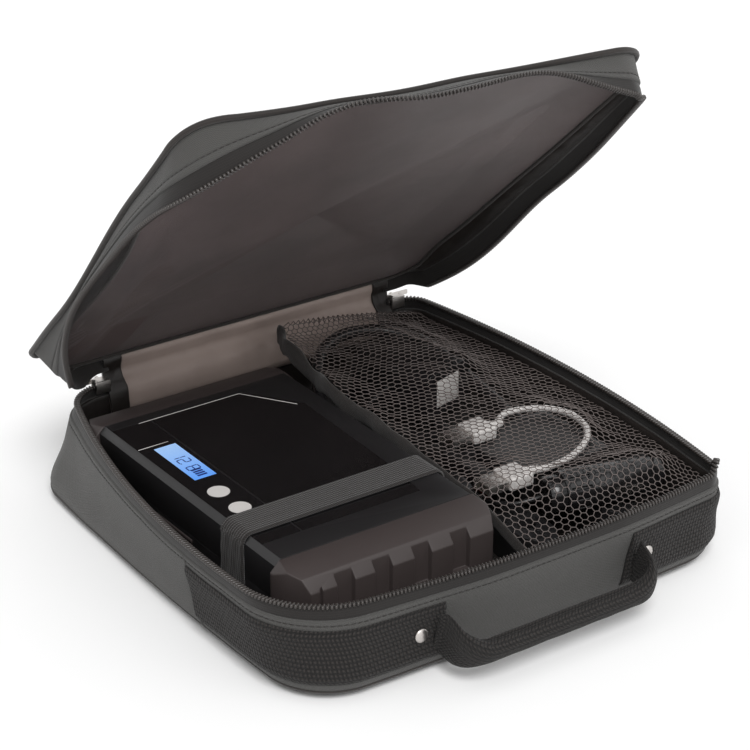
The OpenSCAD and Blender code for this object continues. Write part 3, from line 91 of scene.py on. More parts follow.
# Where the lid's soft wall hangs: place and reach along the outline, then how far out and down
# its zip edge and its panel edge hang there
HANG = (
    (17, 26, 0, 8, 0, 2), (14, 16, 0, 0, -5, 1), (34, 22, 7, 1, 0, 7), (72, 17, 0, 5, 0, -3),
    (89, 9, 0, -4, 0, 0), (99, 9, 0, 2, 0, 1), (112, 9, 0, -3, 0, 0), (130, 20, -4, 4, 4, 0),
    (162, 26, 4, 4, 0, 0), (181, 17, 3, 9, 0, 0),
)
# The hem of both halves of the case: how far from its foot towards the zip, and how far in
HEM = ((0, 0.05), (0.4, 0.4), (0.8, 0.05), (1.5, -0.15), (2.3, -0.1), (2.8, 0.3), (3.0, 1.1),
       (2.7, 1.9))
BASE_HEM, LID_HEM, HEM_SEAM = 36.3, 56.3, 0.4

# Steps of the case's outline: each corner, each side and the hinge edge
CORNER_STEPS, SIDE_STEPS, HINGE_STEPS = 18, 44, 40
# Points closer than this, in metres, become one
WELD = 1e-6


# ---- The case's outline and its walls
def corner(centre, radius, first, last):
    a = np.radians(np.linspace(first, last, CORNER_STEPS + 1))
    return np.array(centre, float) + radius * np.stack([np.cos(a), np.sin(a)], 1)


def heading(angle):
    a = math.radians(angle)
    return np.array([-math.sin(a), math.cos(a)])


def side(a, a_way, b, b_way):
    reach = np.linalg.norm(b - a) / 3
    t = np.linspace(0, 1, SIDE_STEPS + 1)[1:-1, None]
    s = 1 - t
    near, far = a + reach * a_way, b - reach * b_way
    return s**3 * a + 3 * s * s * t * near + 3 * s * t * t * far + t**3 * b


def outline(corners, back):
    """The closed outline, anticlockwise from the left end of the zip."""
    arcs = [corner(*c) for c in corners]
    parts = [[[ZIP_LEFT, back]], arcs[0]]
    for k in range(3):
        leave, meet = heading(corners[k][3]), heading(corners[k + 1][2])
        parts += [side(arcs[k][-1], leave, arcs[k + 1][0], meet), arcs[k + 1]]
    t = np.linspace(0, 1, HINGE_STEPS + 1)[:-1, None]
    parts.append((1 - t) * np.array([ZIP_RIGHT, back]) + t * np.array([ZIP_LEFT, back]))
    return np.concatenate(parts)


def plain_outline(left, right, front, back, r):
    rh = min(r, right - ZIP_RIGHT - 2)
    return outline([
        ((-left + r, back - r), r, 90, 178),
        ((-left + r, -front + r), r, 182, 268),
        ((right - r, -front + r), r, 272, 358),
        ((right - rh, back - rh), rh, 2, 90),
    ], back)


RIM = outline([
    ((-78, 102.5), 24, 90, 161.0),
    ((-84, -82.5), 44, 183.0, 262),
    ((107, -114.5), 12, 278, 350),
    ((105, 112.5), 14, 10, 90),
], RIM_BACK)
FLOOR = plain_outline(FLOOR_X, FLOOR_X, FLOOR_Y, FLOOR_Y, 24)
PANEL = plain_outline(121, 120, 129.5, 124.5, 24)
RING = len(RIM)
ZIP_LAST = RING - HINGE_STEPS
REAR_LEFT_LAST = CORNER_STEPS + 1
REAR_RIGHT_FIRST = ZIP_LAST - CORNER_STEPS - 1
ON_ZIP = np.arange(RING) < ZIP_LAST
# First and last points of the left, front and right sides
SPAN = CORNER_STEPS + SIDE_STEPS
LEFT_SIDE, FRONT_SIDE, RIGHT_SIDE = (
    (k * SPAN + REAR_LEFT_LAST + 1, (k + 1) * SPAN) for k in range(3))
# Up from the lid's panel, as the lid stands open
LID_UP = (0, math.sin(math.radians(LID_OPEN)), math.cos(math.radians(LID_OPEN)))


def inset(ring, d):
    """The ring moved in by d, which is one number or one for each of its points."""
    t = np.roll(ring, -1, 0) - np.roll(ring, 1, 0)
    n = np.stack([-t[:, 1], t[:, 0]], 1) / np.linalg.norm(t, axis=1)[:, None]
    return ring + np.reshape(d, (-1, 1)) * n


def ripple(points, size, seed):
    """Smooth noise at each point, about -1 to 1, over folds of that size."""
    shift = Vector((seed * 7.1, seed * 3.7, seed * 5.3))
    return np.array([noise.noise(Vector(p) / size + shift) for p in points])


def creases(points, *folds):
    """Sharp folds at each point, 0 or more; folds gives each kind's size, seed and depth."""
    return sum(depth * np.abs(ripple(points, size, seed)) for size, seed, depth in folds)


def humped(u):
    """0 at both ends and 1 half way."""
    return np.sin(np.pi * np.clip(u, 0, 1))


def base_ring(z, d):
    """The base's wall at height z, set in by d; its cloth settles out and ripples a little."""
    t = min(max(z / RIM_H, 0), 1)
    flat = (1 - t) * FLOOR + t * RIM
    at = np.column_stack([flat, np.full(RING, z)])
    low = min(max(z / SETTLE_TOP, 0), 1)
    # 9.48 brings the top of this hump, which is a quarter of the way up, to 1
    d = d - SETTLE * 9.48 * low * (1 - low) ** 3
    slack = humped(t) * (1.1 * ripple(at, 38, 1) + 0.35 * ripple(at, 13, 2))
    return np.column_stack([inset(flat, d - WALL_BULGE * humped(t) - slack), np.full(RING, z)])


def lobe(centre, reach):
    """A smooth hump over the outline's points, 1 at the centre and 0 from that reach on."""
    return 0.5 + 0.5 * np.cos(np.pi * np.clip((np.arange(RING) - centre) / reach, -1, 1))


def eased(u, edge):
    """A ramp from 0 to 1 that is straight at the zip's edge and rounded off over the panel."""
    u = np.clip(u, 0, 1)
    return u * edge + (1 - edge) * u * u * (3 - 2 * u)


def lid_shape(p, edge):
    """Points of the level lid, twisted and arched as its wall stands; edge is 1 at the zip."""
    x, y, z = p[:, 0], p[:, 1], p[:, 2]
    depth = np.clip((RIM_BACK - y) / (2 * RIM_BACK), 0, 1)
    across = np.clip((RIM_RIGHT - x) / (RIM_RIGHT + RIM_LEFT), 0, 1)
    on_left = eased((-x - FLOOR_X / 2) / (FLOOR_X / 2), edge)
    on_front = eased((-y - FLOOR_Y / 2) / (FLOOR_Y / 2), edge)
    front = humped(1 - across) * on_front * edge
    lift = LID_TWIST * across * depth + LID_ARCH_LEFT * on_left * humped(depth) * edge
    return np.column_stack([x, y - LID_SPLAY * front, z + lift + LID_ARCH_FRONT * front])


def turned(p, degrees, y0, z0):
    """Points about the origin, turned about X and moved to a place in Y and Z."""
    a = math.radians(degrees)
    y, z = p[..., 1], p[..., 2]
    ahead = y * math.cos(a) - z * math.sin(a) + y0
    return np.stack([p[..., 0], ahead, y * math.sin(a) + z * math.cos(a) + z0], -1)


def opened(p):
    """Points of the shut lid, turned up about the hinge."""
    return turned(p - HINGE, -LID_OPEN, HINGE_Y, HINGE_Z)


def hanging(t):
    """How far out and down the lid's wall hangs round the outline, t of the way to its panel."""
    place = np.arange(RING)
    free = np.clip(np.minimum(place, ZIP_LAST - place) / FREE_OVER, 0, 1)
    out, down = np.zeros(RING), np.zeros(RING)
    for centre, reach, rim_out, rim_down, panel_out, panel_down in HANG:
        weight = free * lobe(centre, reach)
        out += weight * ((1 - t) * rim_out + t * panel_out)
        down += weight * ((1 - t) * rim_down + t * panel_down)
    return out, down


def lid_ring(z, d, share=1.0):
    """The open lid's wall at height z, set in by d; a share below 1 lies on its panel."""
    t = min(max((z - LID_RIM) / LID_DEPTH, 0), 1)
    flat = (1 - t) * RIM + t * PANEL
    at = np.column_stack([flat * share, np.full(RING, z)])
    slack = humped(t) * 1.2 * ripple(at, 34, 3) if share == 1 else 0
    out, down = hanging(t)
    flat = inset(flat, d - slack - out) * share
    return opened(lid_shape(np.column_stack([flat, z - down * share**2]), 1 - t))


def rise(ring, first, last, count, d):
    """So many rings of a wall from one height to another, all set in by d."""
    return [ring(z, d) for z in np.linspace(first, last, count)]


def discs(ring, *shares):
    """Rings drawn in towards the middle of a floor, each to a share of the full ring."""
    return [ring * (share, share, 1) for share in shares]


# ---- Meshes
def piece(name, bm, smooth=True, sharp=None):
    """An object from a bmesh, in metres, lying where its mesh says."""
    mesh = bpy.data.meshes.new(name)
    bm.to_mesh(mesh)
    bm.free()
    for face in mesh.polygons:
        face.use_smooth = smooth
    if sharp is not None:
        mesh.set_sharp_from_angle(angle=math.radians(sharp))
    obj = bpy.data.objects.new(name, mesh)
    bpy.context.scene.collection.objects.link(obj)
    return obj


def skin(rows, joined=False, capped=False):
    """A bmesh over closed rows of like points in millimetres, with a UV map in metres.

    joined closes the last row to the first, capped draws both end rows to a point.
    """
    rows = np.array(rows, float)
    if joined:
        rows = np.concatenate([rows, rows[:1]])
    if capped:
        ends = [np.repeat(rows[i].mean(0)[None], rows.shape[1], 0)[None] for i in (0, -1)]
        rows = np.concatenate([ends[0], rows, ends[1]])
    rows = np.concatenate([rows, rows[:, :1]], 1) * MM
    count, width = rows.shape[:2]
    along = np.zeros((count, width))
    along[1:] = np.cumsum(np.linalg.norm(np.diff(rows, axis=0), axis=2), 0)
    across = np.zeros((count, width))
    across[:, 1:] = np.cumsum(np.linalg.norm(np.diff(rows, axis=1), axis=2), 1)
    bm = bmesh.new()
    bmesh.ops.create_grid(bm, x_segments=width - 1, y_segments=count - 1, size=1)
    uv = bm.loops.layers.uv.new("UVMap")
    for vert in bm.verts:
        i = round((vert.co.y + 1) / 2 * (count - 1))
        j = round((vert.co.x + 1) / 2 * (width - 1))
        vert.co = rows[i, j]
        for loop in vert.link_loops:
            loop[uv].uv = (across[i, j], along[i, j])
    bmesh.ops.remove_doubles(bm, verts=bm.verts, dist=WELD)
    bmesh.ops.dissolve_degenerate(bm, edges=bm.edges, dist=WELD / 10)
    bmesh.ops.recalc_face_normals(bm, faces=bm.faces)
    return bm


def through(route, steps):
    """Points of a smooth curve through the route, so many steps to each stretch."""
    p = np.array(route, float)
    padded = np.concatenate([p[:1], p, p[-1:]])
    t = np.linspace(0, 1, steps + 1)[:-1, None]
    out = []
    for i in range(len(p) - 1):
        a, b, c, d = padded[i:i + 4]
        bend, twist = 2 * a - 5 * b + 4 * c - d, 3 * b - a - 3 * c + d
        out.append(0.5 * (2 * b + (c - a) * t + bend * t**2 + twist * t**3))
    return np.concatenate(out + [p[-1:]])


def tube_rows(points, radius, sides, closed=False):
    """Rings of a round cord along points."""
    if closed:
        way = np.roll(points, -1, 0) - np.roll(points, 1, 0)
    else:
        way = np.gradient(points, axis=0)
    way /= np.linalg.norm(way, axis=1)[:, None]
    up = np.where(np.abs(way[:, 2:3]) > 0.95, [[1.0, 0, 0]], [[0, 0, 1.0]])
    first = np.cross(up, way)
    first /= np.linalg.norm(first, axis=1)[:, None]
    second = np.cross(way, first)
    a = np.linspace(0, 2 * np.pi, sides + 1)[:-1]
    ring = np.cos(a)[None, :, None] * first[:, None] + np.sin(a)[None, :, None] * second[:, None]
    return points[:, None] + radius * ring


def add_copies(bm, shape, places):
    """Adds the shape to a bmesh at every place, each place a 4x4 matrix."""
    mesh = bpy.data.meshes.new("pattern")
    shape.to_mesh(mesh)
    shape.free()
    for place in places:
        before = len(bm.verts)
        bm.from_mesh(mesh)
        bmesh.ops.transform(bm, matrix=place, verts=bm.verts[:][before:])
    bpy.data.meshes.remove(mesh)
    return bm


def frame_at(point, along, up):
    """A matrix that stands a shape at a point in millimetres with its X along and its Z near up."""
    x = Vector(along).normalized()
    y = Vector(up).cross(x).normalized()
    z = x.cross(y)
    m = Matrix((x, y, z)).transposed().to_4x4()
    m.translation = Vector(point) * MM
    return m


def stood(bm, degrees, axis, point):
    """A shape turned about X or Y and moved to a point in millimetres."""
    turn = Matrix.Rotation(math.radians(degrees), 4, axis)
    turn.translation = Vector(point) * MM
    bmesh.ops.transform(bm, matrix=turn, verts=bm.verts)
    return bm


def rounded(bm, edges, width, segments=2, **settings):
    """Rounds edges of a shape over, with the width in millimetres."""
    bmesh.ops.bevel(bm, geom=edges, offset=width * MM, offset_type="OFFSET", affect="EDGES",
                    segments=segments, profile=0.5, material=-1, **settings)


def turning_edges(bm, least):
    """Edges between two faces that turn by more than that many degrees."""
    return [e for e in bm.edges
            if len(e.link_faces) == 2 and e.calc_face_angle(0) > math.radians(least)]


def softened(name, node, width, segments=2):
    """A copy of a CAD node with its long edges rounded over, in place of the node."""
    bm = bmesh.new()
    bm.from_mesh(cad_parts[node].data)
    bmesh.ops.remove_doubles(bm, verts=bm.verts, dist=2 * WELD)
    bmesh.ops.dissolve_limit(bm, angle_limit=math.radians(1), verts=bm.verts, edges=bm.edges)
    edges = [e for e in turning_edges(bm, 30) if e.calc_length() > 2 * width * MM]
    rounded(bm, edges, width, segments, clamp_overlap=True)
    bmesh.ops.remove_doubles(bm, verts=bm.verts, dist=2 * WELD)
    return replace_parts(piece(name, bm, sharp=35), node)


def wear(obj, material):
    """A CAD node keeps its shape and gets a finish."""
    obj.data.materials.clear()
    obj.data.materials.append(material)


def settle(obj, material, body, slot, *nodes):
    """Gives a piece its finish, its body and the nodes it stands for; its record slot is not used.
    """
    obj.data.materials.append(material)
    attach(obj, body)
    if nodes:
        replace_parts(obj, *nodes)
    return obj


# ---- Finishes
def tone(code):
    """A linear colour from a six-figure screen colour."""
    parts = [int(code[i:i + 2], 16) / 255 for i in (0, 2, 4)]
    return tuple(c / 12.92 if c < 0.04045 else ((c + 0.055) / 1.055) ** 2.4 for c in parts)


def shade(colour, factor):
    return tuple(min(c * factor, 1.0) for c in colour)


class Finish:
    """One material and short ways to add nodes to it."""

    def __init__(self, name, roughness, **sockets):
        self.material = bpy.data.materials.new(name)
        self.material.use_nodes = True
        self.tree = self.material.node_tree
        self.shader = self.tree.nodes["Principled BSDF"]
        self.feed(self.shader.inputs["Roughness"], roughness)
        for key, value in sockets.items():
            self.feed(self.shader.inputs[key.replace("_", " ")], value)

    def feed(self, socket, value):
        if isinstance(value, bpy.types.NodeSocket):
            self.tree.links.new(value, socket)
        elif socket.type == "RGBA" and len(value) == 3:
            socket.default_value = (*value, 1)
        else:
            socket.default_value = value

    def add(self, kind, inputs=(), **settings):
        node = self.tree.nodes.new("ShaderNode" + kind)
        for key, value in settings.items():
            setattr(node, key, value)
        for key, value in dict(inputs).items():
            self.feed(node.inputs[key], value)
        return node

    def calc(self, operation, *values):
        """The result of a math node."""
        return self.add("Math", enumerate(values), operation=operation).outputs[0]

    def place(self, source="Object"):
        return self.add("TexCoord").outputs[source]

    def axes(self, source="Object"):
        """The three coordinates of a place, each by itself."""
        return self.add("SeparateXYZ", {0: self.place(source)}).outputs

    def noise(self, scale, detail=3.0, source="Object", stretch=(1, 1, 1)):
        """Noise about 0 to 1 with that many grains to the metre."""
        at = self.add("Mapping", {"Vector": self.place(source), "Scale": stretch}).outputs[0]
        return self.add("TexNoise", {"Vector": at, "Scale": scale, "Detail": detail}).outputs["Fac"]

    def wave(self, along, pitch):
        """A sine along a coordinate, with its pitch in metres."""
        return self.calc("SINE", self.calc("MULTIPLY", along, 2 * math.pi / pitch))

    def between(self, factor, low, high, first=0.0, last=1.0):
        """A number between low and high as the factor goes from first to last."""
        return self.add("MapRange", {0: factor, 1: first, 2: last, 3: low, 4: high}).outputs[0]

    def blend(self, factor, a, b):
        return self.add("Mix", {0: factor, 6: a, 7: b}, data_type="RGBA").outputs[2]

    def paint(self, factor, a, b):
        self.feed(self.shader.inputs["Base Color"], self.blend(factor, a, b))

    def mottle(self, factor, colour, low, high):
        """Paints from a darker to a paler share of one colour."""
        self.paint(factor, shade(colour, low), shade(colour, high))

    def dull(self, factor, middle, down, up):
        """Roughness from that much below its middle to that much above it."""
        self.feed(self.shader.inputs["Roughness"], self.between(factor, middle - down, middle + up))

    def bump(self, height, depth, under=None, strength=1.0):
        """Relief of that depth in metres, over any relief under it."""
        inputs = {"Height": height, "Distance": depth, "Strength": strength}
        if under is not None:
            inputs["Normal"] = under
        normal = self.add("Bump", inputs).outputs[0]
        self.feed(self.shader.inputs["Normal"], normal)
        return normal

    def yarns(self, along, across):
        """Height of a plain weave, 0 in its gaps to 1 on its yarns, its pitches in metres."""
        at = self.axes("UV")
        waves = [self.wave(at[k], 2 * pitch) for k, pitch in ((0, along), (1, across))]
        u, v = (self.calc("ABSOLUTE", w) for w in waves)
        over = self.calc("GREATER_THAN", self.calc("MULTIPLY", *waves), 0.0)
        warp, weft = (
            self.calc("MULTIPLY", self.calc("POWER", yarn, 0.6), self.between(other, 0.55, 1.0))
            for yarn, other in ((u, v), (v, u)))
        return self.add("Mix", {0: over, 2: weft, 3: warp}, data_type="FLOAT").outputs[0]


@functools.cache
def woven(name, colour, along, across, depth, roughness=0.85, dark=0.62, sheen=0.15, sharp=1.0):
    """Woven cloth with visible yarns, faint bars where a yarn is thicker, and painted shade in the
    hollows between the yarns.
    """
    f = Finish(name, roughness, Sheen_Weight=sheen, Sheen_Roughness=0.5, Specular_IOR_Level=0.3)
    weave = f.yarns(along, across)
    bars = f.noise(900, 2, "UV", (1, 0.05, 1))
    tint = f.blend(f.noise(14, 4), shade(colour, 0.88), shade(colour, 1.12))
    tint = f.blend(f.between(bars, 0.0, 0.3), tint, shade(colour, 0.8))
    # Painted shade: between the yarns the colour is darkened towards black by the dark share; a
    # higher sharp spreads the shade wider
    f.paint(f.calc("POWER", weave, sharp), f.blend(1 - dark, tint, (0, 0, 0)), tint)
    under = f.bump(f.noise(160, 3), depth * 0.6)
    f.bump(weave, depth, under)
    return f.material


@functools.cache
def satin(name, colour, roughness=0.42, wrinkle=0.0006):
    """Thin coated lining cloth: a soft sheen, fine twill lines and small creases."""
    f = Finish(name, roughness, Sheen_Weight=0.08, Sheen_Roughness=0.35, Specular_IOR_Level=0.35)
    broad, fine = (f.calc("MULTIPLY", f.noise(scale, detail), share)
                   for scale, detail, share in ((7, 2, 0.75), (30, 4, 0.25)))
    f.mottle(f.between(f.calc("ADD", broad, fine), 0.0, 1.0, 0.35, 0.65), colour, 0.72, 1.25)
    f.dull(f.noise(45, 4), roughness, 0.08, 0.12)
    under = f.bump(f.noise(38, 5, stretch=(1, 1, 1.6)), wrinkle, strength=0.8)
    at = f.axes("UV")
    f.bump(f.wave(f.calc("ADD", at[0], at[1]), 0.0009), 0.00003, under)
    return f.material


@functools.cache
def ribbed(name, colour, pitch, depth, across=0, cross=0.0009, low=0.6, high=1.25):
    """Narrow tape with ribs across one axis of its map and a finer weave across the other, with
    painted shade in its grooves.
    """
    f = Finish(name, 0.8, Sheen_Weight=0.2, Specular_IOR_Level=0.3)
    at = f.axes("UV")
    rib, fine = f.wave(at[across], pitch), f.wave(at[1 - across], cross)
    height = f.calc("ADD", f.between(rib, 0.3, 0.8), f.calc("MULTIPLY", fine, 0.2))
    # Painted shade: the colour follows the relief, from the low share in the grooves to the high
    # share on the ribs
    f.mottle(height, colour, low, high)
    under = f.bump(f.noise(220, 3), depth * 0.5)
    f.bump(height, depth, under)
    return f.material


@functools.cache
def moulded(name, colour, roughness=0.5, grain=0.00003, size=2600, wear=0.18, **sockets):
    """Moulded plastic or rubber: a fine grain, uneven gloss, and paler rubbed places."""
    f = Finish(name, roughness, **sockets)
    f.mottle(f.between(f.noise(30, 6), 0.2, 0.9), colour, 1 - wear, 1 + wear)
    f.dull(f.noise(70, 5), roughness, 0.07, 0.07)
    if grain:
        f.bump(f.noise(size, 2), grain)
    return f.material


@functools.cache
def metal(name, colour, roughness=0.3, brushed=(1, 1, 8)):
    """Plated metal with faint brushing and small dull spots."""
    f = Finish(name, roughness, Metallic=1.0)
    f.mottle(f.noise(120, 5), colour, 0.82, 1.1)
    f.dull(f.noise(400, 4, stretch=brushed), roughness, 0.1, 0.15)
    f.bump(f.noise(900, 3, stretch=brushed), 0.00002)
    return f.material


@functools.cache
def jacket(name, colour, roughness):
    """Cable jacket: smooth skin with slight waviness along it."""
    f = Finish(name, roughness, Coat_Weight=0.1, Coat_Roughness=0.3)
    f.mottle(f.noise(60, 4), colour, 0.85, 1.12)
    f.dull(f.noise(120, 3), roughness, 0.08, 0.08)
    under = f.bump(f.noise(700, 2), 0.00004)
    f.bump(f.noise(140, 2), 0.0002, under)
    return f.material


@functools.cache
def gloss_film():
    """Printed film over the booster: deep gloss with a faint stipple and fine wipe marks."""
    f = Finish("gloss film", 0.16, Coat_Weight=0.4, Coat_Roughness=0.08, Specular_IOR_Level=0.5)
    f.paint(f.noise(25, 4), tone("0d0c0d"), tone("161516"))
    f.dull(f.noise(90, 5, stretch=(1, 6, 1)), 0.16, 0.06, 0.10)
    f.bump(f.noise(1500, 2), 0.000008)
    return f.material


@functools.cache
def display_glass():
    """Backlit display: brighter towards its rear left, with the faint grid of its dots."""
    f = Finish("display", 0.12, Coat_Weight=0.5, Coat_Roughness=0.05)
    along = f.between(f.axes()[1], 0.0, 1.0, LCD[2] * MM, LCD[3] * MM)
    tint = f.blend(along, tone("5f9bee"), tone("a9cdf7"))
    tint = f.blend(f.between(f.noise(1800, 1), 0.0, 0.25), tint, tone("4f86d8"))
    for socket, value in (("Base Color", tint), ("Emission Color", tint),
                          ("Emission Strength", 0.35)):
        f.feed(f.shader.inputs[socket], value)
    return f.material


@functools.cache
def circuit_finish():
    """Solder-masked board with paler tracks."""
    f = Finish("circuit board", 0.35, Coat_Weight=0.3)
    tracks = f.add("TexBrick",
                   {"Vector": f.place(), "Scale": 60.0, "Mortar Size": 0.03}).outputs["Fac"]
    f.paint(tracks, tone("0f4a2c"), tone("2f7d4d"))
    f.bump(tracks, 0.00005)
    return f.material


@functools.cache
def pressed_board():
    """Brown hardboard with fibres."""
    f = Finish("hardboard", 0.8)
    f.paint(f.noise(260, 6, stretch=(1, 4, 1)), tone("5b4431"), tone("8a6a4c"))
    f.bump(f.noise(1200, 4), 0.00005)
    return f.material


@functools.cache
def cell_wrap():
    """Shrink sleeve of the cells, with streaks of painted highlight along each."""
    f = Finish("cell sleeve", 0.3, Coat_Weight=0.2)
    # Painted highlight: paler blue streaks along the cells
    f.paint(f.noise(90, 3, stretch=(1, 0.2, 1)), tone("2b5f86"), tone("3b7fae"))
    f.bump(f.noise(500, 3, stretch=(1, 0.1, 1)), 0.00005)
    return f.material


# ---- Sizes and colours that a user may change
def length(name, description, default, low, high):
    return bpy.props.FloatProperty(name=name, description=description, default=default * MM,
                                   min=low * MM, max=high * MM, unit="LENGTH", precision=4)


def colour(name, description, code):
    return bpy.props.FloatVectorProperty(name=name, description=description, default=tone(code),
                                         min=0, max=1, subtype="COLOR")


class StarterSizes(bpy.types.PropertyGroup):
    """Sizes of the small repeated shapes and of the weaves."""

    tooth_pitch: length("Tooth pitch", "Distance from one coil tooth to the next", 1.9, 1.5, 3)
    net_cell: length("Net cell", "Distance across one cell of the net", 3.6, 3, 6)
    net_yarn: length("Net yarn", "Thickness of the net's yarn", 0.55, 0.3, 1)
    cloth_yarn: length("Cloth yarn", "Pitch of the outer cloth's weave", 0.8, 0.3, 1.2)
    web_yarn: length("Webbing yarn", "Pitch of the webbing's weave", 2.1, 1, 4)
    rib_pitch: length("Strap rib", "Distance between the ribs of the elastic strap", 1.6, 1, 3)
    stitch: length("Stitch", "Length of one stitch of the seams", 3.0, 2, 5)


class StarterColours(bpy.types.PropertyGroup):
    """Colours of the cloths, plastics and metals."""

    outer_cloth: colour("Outer cloth", "Woven cloth of the case", "51504e")
    dark_tape: colour("Tape", "Zip tape, webbing and bindings", "2f2b29")
    lining: colour("Lining", "Satin lining under the lid's panel", "554a49")
    # A darker copy of the lining, painted shade, worn inside the base, on the lid's sides and on
    # the hinge's end tabs
    shaded_lining: colour("Shaded lining", "Lining of the base and of the lid's sides", "231f1d")
    # A paler copy of the lining, painted light, for the strip along the hinge
    hinge: colour("Lit hinge lining", "Lining along the hinge", "9a8b84")
    strap: colour("Strap", "Elastic strap over the booster", "332e2c")
    net: colour("Net", "Yarn of the net pocket", "625956")
    body: colour("Body plastic", "Moulded plastic of the booster and the leads' parts", "1c1b1c")
    bumper: colour("Bumper rubber", "Rubber ends of the booster", "3b3433")
    nickel: colour("Nickel", "Rivets, zip sliders and plug shells", "c9c4c0")
    pale: colour("Pale plastic", "Buttons, charger label and USB lead", "d4d0cd")
    red: colour("Clamp red", "Handles of the red clamp", "a3170f")


def cloth(c, s):
    # Painted shade between the cloth's yarns leaves about half of its colour in the hollows
    return woven("outer cloth", c.outer_cloth[:], s.cloth_yarn, s.cloth_yarn, 0.0002, dark=0.55)


def webbing(c, s):
    # Deep painted shade between the webbing's yarns leaves about an eighth of its colour in the
    # hollows
    return woven("webbing", shade(c.dark_tape[:], 1.15), s.web_yarn, s.web_yarn * 0.9, 0.0008,
                 roughness=0.75, dark=0.12, sheen=0.05, sharp=4.0)


def tape(c):
    return ribbed("tape", c.dark_tape[:], 0.0011, 0.00009)


def zip_tape(c):
    return ribbed("zip tape", shade(c.dark_tape[:], 0.5), 0.0011, 0.00009)


# The lining's copy with painted shade
def shaded_lining(c):
    return satin("shaded lining", c.shaded_lining[:], roughness=0.36, wrinkle=0.001)


def plastic(c):
    return moulded("body plastic", c.body[:], roughness=0.42)


def pale_plastic(c):
    return moulded("pale plastic", c.pale[:], roughness=0.4, grain=0.00002, wear=0.06)


def nickel(c):
    return metal("nickel", c.nickel[:])


# ---- Shapes that several pieces share
def where(ring, axis, value, run):
    """How far along the ring it passes that x (axis 0) or y (axis 1) on one of its sides."""
    first, last = run
    part = ring[first:last + 1, axis]
    order = np.argsort(part)
    return float(np.interp(value, part[order], np.arange(first, last + 1)[order]))


def along_ring(ring, u):
    i = np.clip(np.floor(u).astype(int), 0, RING - 2)
    f = (np.asarray(u) - i)[:, None]
    return ring[i] * (1 - f) + ring[i + 1] * f


def pinch(rows):
    """Rows of flat loops, closed by one more at each end where their two faces meet."""
    rows = np.array(rows, float)
    ends = [(rows[k] + rows[k][::-1])[None] / 2 for k in (0, -1)]
    return np.concatenate([ends[0], rows, ends[1]])


def doubled(line, thickness):
    """Pairs of height and inset, then the same line back along the inner side of a strip."""
    return [*line, *((z, d + thickness) for z, d in reversed(line))]


def strip(levels):
    """A thin strip along the zip's part of the outline; levels are its faces, out then in."""
    return skin(pinch(np.stack([ring[:ZIP_LAST + 1] for ring in levels], 1)))


def evenly(points, pitch):
    """Places along a line of points, one pitch apart, and the way it goes at each."""
    steps = np.linalg.norm(np.diff(points, axis=0), axis=1)
    reach = np.concatenate([[0], np.cumsum(steps)])
    at = np.arange(pitch / 2, reach[-1], pitch)
    spots, ahead, behind = (
        np.stack([np.interp(at + step, reach, points[:, k]) for k in range(3)], 1)
        for step in (0, pitch / 4, -pitch / 4))
    return spots, ahead - behind


def lathe(profile, steps=32):
    """A turned shape about Z from (radius, height) pairs in millimetres."""
    bm = bmesh.new()
    verts = [bm.verts.new((r * MM, 0, h * MM)) for r, h in profile]
    edges = [bm.edges.new(pair) for pair in zip(verts, verts[1:])]
    bmesh.ops.spin(bm, geom=verts + edges, cent=(0, 0, 0), axis=(0, 0, 1), angle=2 * math.pi,
                   steps=steps, use_merge=True)
    bmesh.ops.remove_doubles(bm, verts=bm.verts, dist=WELD)
    bmesh.ops.recalc_face_normals(bm, faces=bm.faces)
    return bm


def block(size, width=0.0, segments=2):
    """A box about the origin in millimetres, with its edges rounded by that width."""
    bm = bmesh.new()
    bmesh.ops.create_cube(bm, size=1)
    bmesh.ops.scale(bm, vec=Vector(size) * MM, verts=bm.verts)
    if width:
        rounded(bm, bm.edges[:], width, segments)
    return bm


def row_of(name, shape, line, pitch, up):
    """A piece that repeats a shape along a line, with the pitch in metres."""
    places = [frame_at(point, way, up) for point, way in zip(*evenly(line, pitch / MM))]
    return piece(name, add_copies(bmesh.new(), shape, places))


def teeth(name, line, up, s):
    """A row of coil teeth along a line, each a little askew."""
    tooth = block((1.35, COIL_W + 0.6, COIL_H + 0.1), 0.45, 1)
    for vert in tooth.verts:
        vert.co.x += 0.25 * vert.co.y
    return row_of(name, tooth, line, s.tooth_pitch, up)


def stitches(name, line, up, s):
    """A row of thread stitches along a line, with gaps between them."""
    return row_of(name, block((s.stitch / MM * 0.72, 0.45, 0.35), 0.14, 1), line, s.stitch, up)


def rope(name, points, radius, sides=12, closed=False):
    rows = tube_rows(points, radius, sides, closed)
    return piece(name, skin(rows, joined=closed, capped=not closed))


class Builder:
    """What every builder of this pack has in common."""

    bl_options = {"REGISTER", "UNDO"}


# ---- Base
# The binding round the foot of the base: the height and inset of each point of its section
FOOT_BINDING = ((5.4, 0.35), (5.2, -0.35), (4.0, -0.55), (2.6, -0.2), (1.4, 0.8), (0.55, 2.2),
                (0.15, 3.6), (0.05, 6), (0.5, 6.2))


